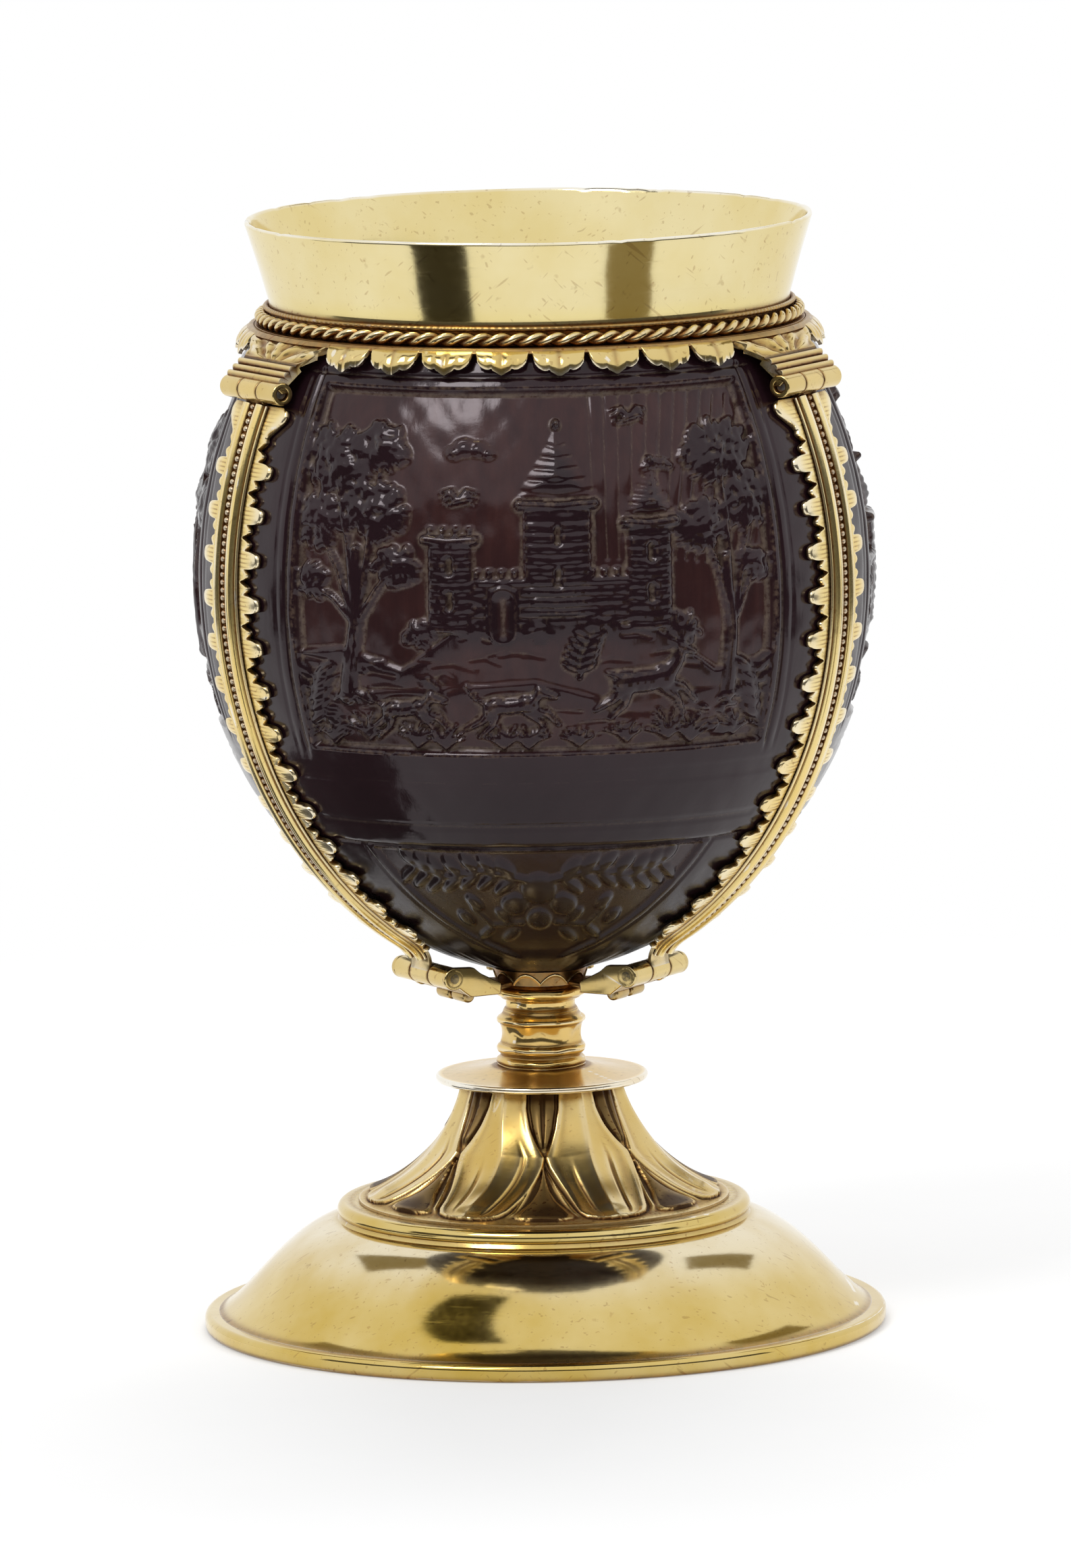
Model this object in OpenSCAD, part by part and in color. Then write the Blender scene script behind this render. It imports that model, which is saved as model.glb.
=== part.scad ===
// Coconut cup in gilt mounts: a carved shell held by three hinged straps
// between a domed foot and a flared lip. Millimetres, +Z up, foot on Z = 0.

/* [Foot] */
// Outer radius of the foot rim
foot_r = 50.5; // [44:0.5:58]
// Height of the half-round foot rim
rim_h = 2.6; // [2:0.1:4]
// Width of the rim ring that the cup stands on
rim_w = 4.4; // [3.6:0.1:7]
// Height of the dome from the rim to the step
dome_h = 13.9; // [11:0.1:18]
// Radius of the step ring at the top of the dome
step_r = 30.6; // [28:0.1:35]
// Height of the step ring
step_h = 2.3; // [1.6:0.1:3.2]
// Thickness of the raised foot sheet
foot_sheet = 0.9; // [0.6:0.1:1.3]

/* [Leaf trumpet] */
// Height of the leaf trumpet
trumpet_h = 17.8; // [14:0.1:24]
// Radius of the trumpet at its base
trumpet_r = 27.4; // [25:0.1:27.8]
// Radius of the trumpet at its throat
throat_r = 11; // [9:0.1:13]
// Number of broad leaves
leaf_n = 7; // [5:1:10]
// Height of the leaf relief
leaf_h = 0.8; // [0.4:0.1:1.2]

/* [Stem] */
// Radius of the collar disc
disc_r = 15.7; // [14:0.1:20]
// Thickness of the collar disc at its edge
disc_t = 1; // [0.7:0.1:1.6]
// Rise of the collar disc to the stem
disc_rise = 1.2; // [0.6:0.1:2.4]
// Height of the spool
spool_h = 8.3; // [6:0.1:12]
// Radius of the spool's rings
spool_r = 6.6; // [5.8:0.1:8]
// Radius of the spool's waist
waist_r = 5.8; // [4.6:0.1:6.4]
// Height of the socket above the spool
socket_h = 4.2; // [3.4:0.1:6]
// Radius of the socket's neck
neck_r = 5.1; // [4:0.1:6]
// Radius of the tie bolt that runs down the stem
bolt_r = 2; // [1.4:0.1:2.6]

/* [Shell] */
// Largest radius of the shell
shell_r = 50.6; // [46:0.1:56]
// Depth of the shell from its widest ring to its pole
shell_low = 60.2; // [54:0.1:66]
// Rise that the upper half would have if it closed
shell_up = 58.4; // [54:0.1:66]
// Height of the mouth above the widest ring
mouth_up = 35.8; // [33:0.1:38]
// Thickness of the shell
shell_wall = 3.6; // [2.6:0.1:5]
// Depth of the turned frame lines
line_depth = 0.4; // [0.2:0.1:0.8]
// Depth of the sunk panels round the carving
carve_depth = 1.35; // [0.6:0.05:1.8]
// Half the angle that a panel takes round the shell
panel_half = 43.4; // [38:0.1:45]

/* [Calyx] */
// Radius of the calyx dish under the shell
dish_r = 8.6; // [7.6:0.1:10.5]
// Thickness of the calyx dish
dish_t = 1.1; // [0.8:0.1:1.6]
// Number of lobes round the calyx dish
dish_lobes = 12; // [6:1:18]

/* [Lip] */
// Height of the lip band
lip_h = 15.35; // [10:0.05:24]
// Flare of the lip from its foot to its rim
lip_flare = 3.55; // [1.5:0.05:9]
// Step from the shell's mouth in to the foot of the lip
lip_inset = 1.68; // [1.3:0.02:2.4]
// Thickness of the lip sheet
lip_sheet = 0.9; // [0.6:0.1:1.4]
// Diameter of the rope wire
rope_d = 2.1; // [1.6:0.1:2.6]
// Number of twists round the rope wire
rope_n = 92; // [60:1:110]
// Diameter of the plain wire above the rope
fillet_d = 0.8; // [0.5:0.1:1.2]
// Thickness of the seat flange
flange_t = 0.65; // [0.5:0.05:1]
// Depth of the collar inside the mouth
collar_h = 5; // [3:0.1:9]
// Thickness of the collar
collar_t = 0.9; // [0.6:0.1:1.4]

/* [Leaf skirt] */
// Drop of the skirt below the flange
skirt_drop = 3.1; // [2.4:0.1:4]
// Spread of the skirt beyond the flange
skirt_spread = 2.9; // [2.2:0.1:4]
// Thickness of the skirt
skirt_t = 0.6; // [0.4:0.1:0.9]
// Number of skirt lobes between two brackets
skirt_lobes = 8; // [5:1:10]
// Angle that each bracket takes out of the skirt
bracket_angle = 30.4; // [28:0.1:36]

/* [Straps] */
// Thickness of the strap plate
strap_t = 0.8; // [0.5:0.1:1.2]
// Width of the reeded rib
rib_w = 7; // [6:0.1:8]
// Height of the reeded rib above the plate
rib_h = 1.1; // [0.7:0.1:1.5]
// Width of the bead channel between the reeds
channel_w = 1.9; // [1.4:0.1:2.4]
// Reach of the round lobes beyond the rib
lobe_w = 4.6; // [3:0.1:5.4]
// Reach of the pointed cusps beyond the rib
cusp_w = 2; // [1.2:0.1:2.6]
// Length of one lobe and its cusps along the strap
lobe_pitch = 6.5; // [5.5:0.1:8]
// Pitch of the beads
bead_pitch = 1; // [0.8:0.05:1.6]
// Bare plate at each end of the rib
rib_end = 1.4; // [1.2:0.1:3]

/* [Hinges] */
// Length of a hinge over all its knuckles
hinge_len = 16; // [14:0.1:18]
// Diameter of the knuckles
knuckle_d = 3.3; // [2.8:0.1:4]
// Diameter of the hinge pins
pin_d = 1.7; // [1.2:0.1:2]
// Depth of the upper hinge axis below the mouth of the shell
upper_drop = 6.4; // [6:0.1:8]
// Gap between the upper knuckles and the shell
hinge_gap = 0.75; // [0.6:0.05:1.4]
// Radius of the lower hinge axis from the stem axis
lower_r = 19.1; // [18.4:0.1:22]
// Depth of the lower hinge axis below the shell
lower_drop = 4.1; // [3.6:0.1:5]
// Thickness of the hinge cheeks
cheek_t = 1.1; // [0.8:0.1:1.6]

/* [Clearances] */
// Gap between soldered pieces
solder_gap = 0.05; // [0.02:0.01:0.1]
// Gap between the shell and the metal that holds it
seat_gap = 0.3; // [0.2:0.05:0.5]
// Running gap of a pin in its bore
pin_gap = 0.05; // [0.02:0.01:0.09]
// Gap between neighbouring knuckles
knuckle_gap = 0.15; // [0.1:0.05:0.3]

/* [Hidden] */
$fn = 96;
rim_round = 0.9;
dome_top = rim_h + dome_h;
step_top = dome_top + step_h;
trumpet_top = step_top + trumpet_h;
disc_top = trumpet_top + disc_t + disc_rise;
spool_top = disc_top + spool_h;
socket_top = spool_top + socket_h;
pole_z = socket_top + dish_t + seat_gap;
belly_z = pole_z + shell_low;
mouth_z = belly_z + mouth_up;
shell_power = 1.12;
mouth_angle = asin(mouth_up / shell_up);
panel_from = -20.8;
panel_to = mouth_angle - 5.8;
mouth_r = shell_rad(mouth_z);
lip_foot_r = mouth_r - lip_inset;
lip_r = lip_foot_r + lip_flare;
flange_z = mouth_z + seat_gap;
flange_top = flange_z + flange_t;
rope_r = lip_foot_r + solder_gap + rope_d / 2;
rope_z = flange_top + solder_gap + rope_d / 2;
flange_r = rope_r + rope_d / 2;
fillet_z = rope_z + rope_d / 2 + solder_gap + fillet_d / 2;
lip_straight = fillet_z + fillet_d / 2;
mouth_in_r = (shell_r - shell_wall) * sqrt(1 - pow(mouth_up / (shell_up - shell_wall), 2));
collar_r = mouth_in_r - seat_gap;
knuckle_r = knuckle_d / 2;
pin_r = pin_d / 2;
bore_r = pin_r + pin_gap;
knuckle_len = (hinge_len - 2 * knuckle_gap) / 3;
side_knuckle_y = knuckle_len / 2 + knuckle_gap;
upper_z = mouth_z - upper_drop;
upper_r = shell_rad(upper_z) + hinge_gap + knuckle_r;
lower_z = shell_low_z(lower_r) - lower_drop;
upper_axis = [upper_r, upper_z];
lower_axis = [lower_r, lower_z];
plate_in = seat_gap;
plate_out = plate_in + strap_t;
strap_top_a = asin((upper_z - knuckle_r - 0.9 - belly_z) / shell_up);
strap_low_a = -acos(pow((lower_r + 3.6) / shell_r, 1 / shell_power));
strap_n = 28;
strap_path = [for (i = [0 : strap_n]) shell_pt(strap_low_a + (strap_top_a - strap_low_a) * i / strap_n)];
strap_s = [for (i = 0, s = 0; i <= strap_n; s = s + norm(strap_path[min(i + 1, strap_n)] - strap_path[i]),
    i = i + 1) s];
strap_len = strap_s[strap_n];
strap_angle = [for (i = [0 : strap_n]) [strap_s[i], strap_low_a + (strap_top_a - strap_low_a) * i / strap_n]];
rib_len = strap_len - 2 * rib_end;
rib_path = [for (i = [0 : strap_n]) shell_pt(lookup(rib_end + rib_len * i / strap_n, strap_angle))];
az_left = 210;
az_right = 330;
az_back = 90;
strap_az = [az_left, az_right, az_back];

// The shell's outline, by an angle that runs from -90 at the pole to 90 at the closed top
function shell_pt(a) = a < 0
    ? [shell_r * pow(cos(a), shell_power), belly_z + shell_low * sin(a)]
    : [shell_r * cos(a), belly_z + shell_up * sin(a)];
function shell_in_pt(a) = a < 0
    ? [(shell_r - shell_wall) * pow(cos(a), shell_power), belly_z + (shell_low - shell_wall) * sin(a)]
    : [(shell_r - shell_wall) * cos(a), belly_z + (shell_up - shell_wall) * sin(a)];
// Radius of the shell's upper half at a height, and height of its lower half at a radius
function shell_rad(z) = shell_r * sqrt(1 - pow((z - belly_z) / shell_up, 2));
function shell_low_z(r) = belly_z - shell_low * sqrt(1 - pow(r / shell_r, 2 / shell_power));

function path_normal(p, i) =
    let (t = p[min(i + 1, len(p) - 1)] - p[max(i - 1, 0)]) [t.y, -t.x] / norm(t);
function offset_path(p, d) = [for (i = [0 : len(p) - 1]) p[i] + d * path_normal(p, i)];
function reversed(p) = [for (i = [len(p) - 1 : -1 : 0]) p[i]];
function bezier(p0, p1, p2, p3, n) = [for (i = [0 : n]) let (t = i / n, u = 1 - t)
    u * u * u * p0 + 3 * u * u * t * p1 + 3 * u * t * t * p2 + t * t * t * p3];
function arc(c, r, a0, a1, n) = [for (i = [0 : n]) let (a = a0 + (a1 - a0) * i / n) c + r * [cos(a), sin(a)]];

// Turns a profile about Z
module turned(p) {
    rotate_extrude() polygon(p);
}

// Draws a profile in the strap's own radial plane, as wide as w
module across(p, w) {
    rotate([90, 0, 0]) linear_extrude(height = w, center = true) polygon(p);
}

// Cuts an outline of width and height through the wall, from radius r0 to r1
module radial_prism(p, r0, r1) {
    rotate([90, 0, 90]) translate([0, 0, r0]) linear_extrude(height = r1 - r0) polygon(p);
}

// A rod along the hinge direction
module hinge_rod(axis, r, len, y = 0) {
    translate([axis.x, y, axis.y]) rotate([90, 0, 0]) cylinder(r = r, h = len, center = true);
}

module foot_rim() {
    in_r = foot_r - rim_w;
    color("gold") turned(concat([[in_r, 0]],
        arc([foot_r - rim_round, rim_round], rim_round, -90, 0, 6),
        arc([foot_r - rim_round, rim_h - rim_round], rim_round, 0, 90, 6),
        [[in_r, rim_h]]));
}

dome_path = concat(
    bezier([foot_r - 2.1, rim_h], [foot_r - 7, rim_h + 2.4], [step_r + 7.8, dome_top - 1.2],
        [step_r - 1.1, dome_top], 20),
    [for (i = [1 : 8]) let (a = -90 + 180 * i / 8)
        [step_r - 1.1 + 1.1 * cos(a), dome_top + step_h / 2 + step_h / 2 * sin(a)]]);

module foot_dome() {
    ledge_r = trumpet_r - 3;
    outer = concat(dome_path, [[ledge_r, step_top]]);
    under = [for (q = offset_path([for (i = [0 : 20]) dome_path[i]], -foot_sheet)) if (q.y > rim_h + 0.1) q];
    inner = concat([[under[0].x, rim_h]], under,
        [[step_r - 1.1 - foot_sheet, dome_top + 0.3], [step_r - 1.4 - foot_sheet, step_top - foot_sheet],
            [ledge_r, step_top - foot_sheet]]);
    color("gold") turned(concat(outer, reversed(inner)));
}

trumpet_edge = step_top + foot_sheet / 2;
trumpet_flare = trumpet_r - throat_r;
trumpet_path = bezier([trumpet_r - 0.4, trumpet_edge],
    [trumpet_r - trumpet_flare * 0.488, step_top + trumpet_h * 0.15],
    [throat_r + trumpet_flare * 0.104, step_top + trumpet_h * 0.55], [throat_r, trumpet_top], 20);

module leaf_trumpet() {
    in_path = [for (q = offset_path(trumpet_path, -foot_sheet))
        if (q.y > step_top + 0.3 && q.y < trumpet_top - 0.3) q];
    color("goldenrod") turned(concat([[trumpet_r, step_top], [trumpet_r, trumpet_edge]], trumpet_path,
        [[throat_r - foot_sheet, trumpet_top]], reversed(in_path), [[in_path[0].x + 0.5, step_top]]));
}

// The plate that closes the throat and takes the tie bolt
module throat_plate() {
    color("goldenrod") translate([0, 0, trumpet_top - foot_sheet]) difference() {
        cylinder(r = throat_r - foot_sheet - solder_gap, h = foot_sheet);
        translate([0, 0, -1]) cylinder(r = bolt_r + pin_gap, h = foot_sheet + 2);
    }
}

// One leaf laid on the trumpet: from is where it starts down the trumpet, broad its half angle
module leaf(from, broad, rise) {
    n = 8;
    bed = 2 * solder_gap;
    rows = [for (i = [0 : n]) let (k = from + (0.985 - from) * i / n,
        j = 20 - k * 20, b = min(floor(j), 19),
        at = trumpet_path[b] + (trumpet_path[b + 1] - trumpet_path[b]) * (j - b),
        nn = path_normal(trumpet_path, b + 1),
        edge = broad * (0.5 + 0.5 * i / n) * sqrt(1 - 0.9 * pow(i / n, 8)),
        lift = rise * (i == 0 ? 0.4 : 1)) [at, nn, edge, lift]];
    across_k = [-1, -0.92, -0.45, 0, 0.45, 0.92, 1, 0.5, 0, -0.5];
    tall_k = [0, 0.8, 0.5, 1, 0.5, 0.8, 0, 0, 0, 0];
    m = len(across_k);
    pts = [for (row = rows, j = [0 : m - 1])
        let (q = row[0] + row[1] * (bed + tall_k[j] * row[3]), a = row[2] * across_k[j])
        [q.x * cos(a), q.x * sin(a), q.y]];
    skin = [for (i = [0 : n - 1], j = [0 : m - 1], f = [0, 1]) let (j2 = (j + 1) % m)
        f == 0 ? [i * m + j, i * m + m + j, i * m + j2] : [i * m + j2, i * m + m + j, i * m + m + j2]];
    top = [[0, 1, 9], [1, 2, 9], [2, 8, 9], [2, 3, 8], [3, 4, 8], [4, 7, 8], [4, 5, 7], [5, 6, 7]];
    tip = [for (t = top) [t[0] + n * m, t[2] + n * m, t[1] + n * m]];
    polyhedron(pts, concat(skin, top, tip));
}

module trumpet_leaves() {
    color("goldenrod") for (i = [0 : leaf_n - 1]) {
        rotate([0, 0, -90 + 360 * (i + 0.5) / leaf_n]) leaf(0.12, 132 / leaf_n, leaf_h);
        rotate([0, 0, -90 + 360 * i / leaf_n]) leaf(0.5, 42 / leaf_n, leaf_h * 0.7);
    }
}

module collar_disc() {
    edge = trumpet_top + disc_t;
    color("gold") difference() {
        turned(concat([[0, trumpet_top]],
            [for (i = [0 : 6]) let (a = -90 + 30 * i)
                [disc_r - 0.4 + 0.4 * cos(a), trumpet_top + disc_t / 2 + disc_t / 2 * sin(a)]],
            bezier([disc_r - 1.2, edge], [disc_r - 4, edge + 0.1], [spool_r + 2.6, disc_top - 0.6],
                [spool_r + 0.2, disc_top], 8),
            [[0, disc_top]]));
        translate([0, 0, trumpet_top - 1]) cylinder(r = bolt_r + pin_gap, h = disc_t + disc_rise + 2);
    }
}

module stem_spool() {
    ring = 0.7;
    function at(k) = disc_top + spool_h * k;
    color("gold") difference() {
        turned(concat([[0, disc_top], [spool_r - 0.3, disc_top]],
            arc([spool_r - 0.6, at(0.08)], 0.6, -60, 60, 4),
            [[spool_r - 0.55, at(0.18)]],
            arc([spool_r - ring, at(0.32)], ring, -80, 80, 6),
            bezier([waist_r + 0.25, at(0.43)], [waist_r - 0.1, at(0.52)], [waist_r - 0.1, at(0.6)],
                [waist_r + 0.3, at(0.74)], 6),
            [[spool_r - 0.15, at(0.79)], [spool_r, at(0.82)], [spool_r, at(0.95)], [spool_r - 0.3, spool_top],
                [0, spool_top]]));
        translate([0, 0, disc_top - 1]) cylinder(r = bolt_r + pin_gap, h = spool_h + 2);
    }
}

module calyx_socket() {
    cap = spool_r + 0.1;
    color("gold") difference() {
        turned(concat([[0, spool_top], [neck_r + 0.3, spool_top], [neck_r, spool_top + 0.5],
            [neck_r, spool_top + socket_h * 0.35], [neck_r + 0.7, spool_top + socket_h * 0.48]],
            [for (i = [0 : 6]) let (a = -90 + 30 * i)
                [cap - 0.6 + 0.6 * cos(a), spool_top + socket_h * (0.68 + 0.17 * sin(a))]],
            [[cap - 1, socket_top], [0, socket_top]]));
        translate([0, 0, spool_top - 1]) cylinder(r = bolt_r + pin_gap, h = socket_h);
    }
}

module calyx_dish() {
    last = -acos(pow(dish_r / shell_r, 1 / shell_power));
    bowl = [for (i = [0 : 12]) shell_pt(-90 + (last + 90) * i / 12)];
    seat = offset_path(bowl, seat_gap);
    under = offset_path(bowl, seat_gap + dish_t);
    flat_r = spool_r - 0.9;
    color("goldenrod") difference() {
        turned(concat([[0, socket_top], [flat_r, socket_top]],
            [for (q = under) if (q.x > flat_r + 0.4) q],
            reversed([for (i = [1 : 12]) seat[i]]), [[0, seat[0].y]]));
        for (i = [0 : dish_lobes - 1])
            rotate([0, 0, 360 * i / dish_lobes]) translate([dish_r + 0.5, 0, socket_top])
                cylinder(r = 1.1, h = 8);
    }
}

// A cast arm under the calyx that carries two knuckles of a lower hinge
module lower_hinge(az) {
    inner = spool_r - 0.5;
    web_z = socket_top - 0.1;
    web_t = 0.8;
    cheek = concat([[inner + 5, web_z], [lower_r - 2.4, web_z]],
        arc(lower_axis, knuckle_r + 0.25, -120, 100, 12),
        [[lower_r - 3.4, lower_z + 1.5], [inner + 5, web_z + web_t + 0.9]]);
    rotate([0, 0, az]) difference() {
        union() {
            across([[inner, web_z], [lower_r - 3.2, web_z], [lower_r - 3.2, web_z + web_t],
                [inner, web_z + web_t]], hinge_len);
            for (side = [-1, 1]) {
                translate([0, side * (hinge_len - cheek_t) / 2, 0]) across(cheek, cheek_t);
                hinge_rod(lower_axis, knuckle_r, knuckle_len, side * (side_knuckle_y + knuckle_len / 2));
            }
            hinge_rod([lower_r - 4.6, web_z - 0.5], 1, hinge_len * 0.6);
            hinge_rod([lower_r - 6.6, web_z - 0.1], 0.6, hinge_len * 0.45);
        }
        hinge_rod(lower_axis, bore_r, hinge_len + 2);
    }
}

module lower_hinge_left() {
    color("goldenrod") lower_hinge(az_left);
}

module lower_hinge_right() {
    color("goldenrod") lower_hinge(az_right);
}

module lower_hinge_back() {
    color("goldenrod") lower_hinge(az_back);
}

module lower_hinge_pins() {
    color("silver") for (az = strap_az) rotate([0, 0, az]) hinge_rod(lower_axis, pin_r, hinge_len);
}

module tie_bolt() {
    low = trumpet_top - foot_sheet - 6;
    color("silver") translate([0, 0, low]) cylinder(r = bolt_r, h = socket_top - 1 - solder_gap - low);
}

washer_t = 0.9;

module tie_washer() {
    color("silver") translate([0, 0, trumpet_top - foot_sheet - washer_t]) difference() {
        cylinder(r = bolt_r + 4.5, h = washer_t);
        translate([0, 0, -1]) cylinder(r = bolt_r + pin_gap, h = washer_t + 2);
    }
}

module tie_nut() {
    nut_h = 3;
    color("silver") translate([0, 0, trumpet_top - foot_sheet - washer_t - nut_h]) difference() {
        cylinder(r = bolt_r + 2, h = nut_h, $fn = 6);
        translate([0, 0, -1]) cylinder(r = bolt_r + pin_gap, h = nut_h + 2);
    }
}

// A turned line cut into the shell at an angle of its outline
module frame_line(a, w) {
    p = shell_pt(a);
    d = shell_pt(a + 1) - shell_pt(a - 1);
    t = d / norm(d);
    n = [t.y, -t.x];
    turned([p - t * w / 2 + n, p - n * line_depth, p + t * w / 2 + n]);
}

// The picture's own scale: its heights are given over a panel 52 high
panel_low = shell_pt(panel_from).y;
picture = (shell_pt(panel_to).y - panel_low) / 52;

// A stretch of the wall's outer layer between two straps
module sunk_panel() {
    edge = [for (i = [0 : 9]) shell_pt(panel_from + (panel_to - panel_from) * i / 9)];
    rotate([0, 0, -panel_half]) rotate_extrude(angle = 2 * panel_half)
        polygon(concat(offset_path(edge, 2), reversed(offset_path(edge, -carve_depth))));
}

// Runs an outline out through the wall, at a place along the panel to the right of its middle
module stands(x) {
    rotate([0, 0, x * picture / shell_r * 180 / PI]) rotate([90, 0, 90])
        translate([0, panel_low, shell_r * 0.7]) linear_extrude(height = shell_r * 0.4) scale(picture) children();
}

module tower(x, foot, top, half, roof = 0) {
    eaves = half * 1.3;
    stands(x) polygon(concat([[-half, foot], [half, foot], [half, top]],
        roof > 0 ? [[eaves, top], [0, top + roof], [-eaves, top]] : [[half, top + 1.9], [-half, top + 1.9]],
        [[-half, top]]));
}

module wall(x, foot, top, half) {
    stands(x) polygon([[-half, foot], [half, foot], [half, top], [-half, top]]);
}

// A trunk with its crowns, each at a place across and up with a radius
module tree(x, foot, top, half, crowns) {
    stands(x) polygon([[-half, foot], [half, foot], [half * 0.6, top], [-half * 0.6, top]]);
    for (c = crowns) stands(x + c.x) translate([0, c.y]) circle(r = c.z);
}

// A running stag, or a hound without antlers; it runs to the right where side is 1
module beast(x, z, size, side, antlers) {
    stag = [[-4.4, 0.6], [-4.3, -1.5], [1.5, -1.2], [3.6, -1], [5.4, 3.3], [7.2, 3.2], [7.1, 4], [5.2, 5.3],
        [4, 4.8], [2.8, 2.2], [0, 1.5]];
    hound = [[-4.2, 0.6], [-4.2, -1.2], [1.5, -1], [3.4, -0.8], [4.8, 0.9], [6.9, 1.2], [6.7, 2], [4.6, 3.1], [2, 1.4]];
    legs = [[[2.2, -0.4], [3.6, 0.1], [7.2, -2.7], [6.6, -3.2]], [[1.6, -0.8], [3, -0.6], [5.6, -4.3], [4.9, -4.7]],
        [[-3.6, 0], [-2.4, -1], [-6.8, -4], [-7.2, -3.3]], [[-3.1, -0.8], [-1.8, -1], [-4.7, -5], [-5.4, -4.6]]];
    horns = [[[4.4, 4.8], [5.2, 4.8], [4.9, 9], [4.2, 9]], [[4.9, 4.8], [5.5, 4.8], [6.8, 8.6], [6.2, 9]]];
    for (part = concat([antlers ? stag : hound], legs, antlers ? horns : []))
        stands(x) polygon([for (q = part) [side * size * q.x, z + size * q.y]]);
}

module front_picture() {
    tower(3.5, 19, 36.5, 5, 11);
    wall(2.5, 19.5, 26, 14.5);
    tower(-12.5, 18, 31.5, 3.4);
    tower(17.5, 18, 33.5, 3.4, 8.5);
    tree(-29, 7, 36, 1.6, [[-5.5, 33.5, 3.9], [4.5, 35.5, 4.4], [-2, 42.5, 5.2], [6.5, 44.5, 3.2], [8, 27.5, 2.8]]);
    tree(30.5, 7, 36, 1.4, [[-4.5, 32.5, 3.7], [4, 35.5, 3.9], [-1.5, 43, 4.9]]);
    beast(16.5, 10, 1.12, 1, true);
    beast(-3.5, 6.8, 0.98, 1, false);
    beast(-19.5, 6.1, 0.92, 1, false);
}

module right_picture() {
    tree(0, 7, 36, 2.1, [[-8, 32.5, 4.6], [7, 33.5, 4.7], [-1, 42.5, 5.9], [-14, 39.5, 3.4], [13, 41.5, 3.5]]);
    tower(-26, 12, 28.5, 3.8, 8.5);
    wall(-28.5, 12.6, 18.5, 7);
    tower(-35, 11.5, 23.5, 2.8);
    tree(29, 9, 36, 1.3, [[-5, 31.5, 3.9], [5, 33.5, 3.9], [0, 40.5, 4.7]]);
    beast(14.5, 10, 1.1, -1, true);
    beast(-14, 5.5, 0.95, -1, false);
}

module left_picture() {
    tower(-13, 13.5, 29.5, 3.6, 8.5);
    tower(3, 14.5, 25.5, 4);
    tower(17, 13.5, 30.5, 3.6, 8.5);
    wall(2, 14, 20, 13.5);
    tree(-28, 8, 36, 1.6, [[-5, 32.5, 4.1], [5, 33.5, 4.2], [0, 41.5, 5.2]]);
    tree(30, 10, 36, 1.5, [[-5, 33.5, 4], [5, 32.5, 3.9], [0, 41.5, 5]]);
    beast(-10, 7.3, 1.1, -1, true);
    beast(14, 6.1, 0.98, -1, false);
}

module coconut_shell() {
    top_in = asin(mouth_up / (shell_up - shell_wall));
    outer = [for (i = [0 : 44]) shell_pt(-90 + (mouth_angle + 90) * i / 44)];
    inner = [for (i = [0 : 36]) shell_in_pt(-90 + (top_in + 90) * i / 36)];
    color("saddlebrown") difference() {
        turned(concat([[0, outer[0].y]], [for (i = [1 : 44]) outer[i]], reversed([for (i = [1 : 36]) inner[i]]),
            [[0, inner[0].y]]));
        for (a = [mouth_angle - 4.2, -24.9, -33.5, -37]) frame_line(a, 1.2);
        rotate([0, 0, strap_az[0] + 60]) difference() {
            sunk_panel();
            front_picture();
        }
        rotate([0, 0, strap_az[1] + 60]) difference() {
            sunk_panel();
            right_picture();
        }
        rotate([0, 0, strap_az[2] + 60]) difference() {
            sunk_panel();
            left_picture();
        }
    }
}

module lip_band() {
    lean = (lip_r - lip_foot_r) / (flange_top + lip_h - lip_straight);
    top = flange_top + lip_h;
    color("gold") turned(concat([[lip_foot_r - lip_sheet, flange_top], [lip_foot_r, flange_top],
        [lip_foot_r, lip_straight]],
        [[lip_r - 0.15 * lean, top - 0.3], [lip_r - 0.25, top], [lip_r - lip_sheet + 0.25, top],
            [lip_r - lip_sheet, top - 0.3]],
        [[lip_foot_r - lip_sheet, lip_straight + 0.1]]));
}

module lip_seat() {
    color("gold") turned([[collar_r - collar_t, flange_z - collar_h], [collar_r, flange_z - collar_h],
        [collar_r, flange_z], [flange_r, flange_z], [flange_r, flange_top], [collar_r - collar_t, flange_top]]);
}

// Two strands twisted together and bent to a ring
module rope_wire() {
    rings = rope_n * 3;
    sides = 6;
    pts = [for (i = [0 : rings - 1], j = [0 : sides - 1])
        let (a = 360 * i / rings, b = 360 * j / sides + 30,
            r = rope_d / 2 * (0.86 + 0.14 * cos(2 * (b - rope_n * a / 2))))
        [(rope_r + r * cos(b)) * cos(a), (rope_r + r * cos(b)) * sin(a), rope_z + r * sin(b)]];
    faces = [for (i = [0 : rings - 1], j = [0 : sides - 1], f = [0, 1])
        let (i2 = (i + 1) % rings, j2 = (j + 1) % sides)
        f == 0 ? [i * sides + j, i * sides + j2, i2 * sides + j]
            : [i * sides + j2, i2 * sides + j2, i2 * sides + j]];
    color("gold") polyhedron(pts, faces);
}

module rope_fillet() {
    color("gold") translate([0, 0, fillet_z]) rotate_extrude()
        translate([lip_foot_r + solder_gap + fillet_d / 2, 0]) circle(r = fillet_d / 2, $fn = 24);
}

skirt_top = flange_top - 0.05;
skirt_low = flange_z - skirt_drop;
skirt_in_r = flange_r + solder_gap;

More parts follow.
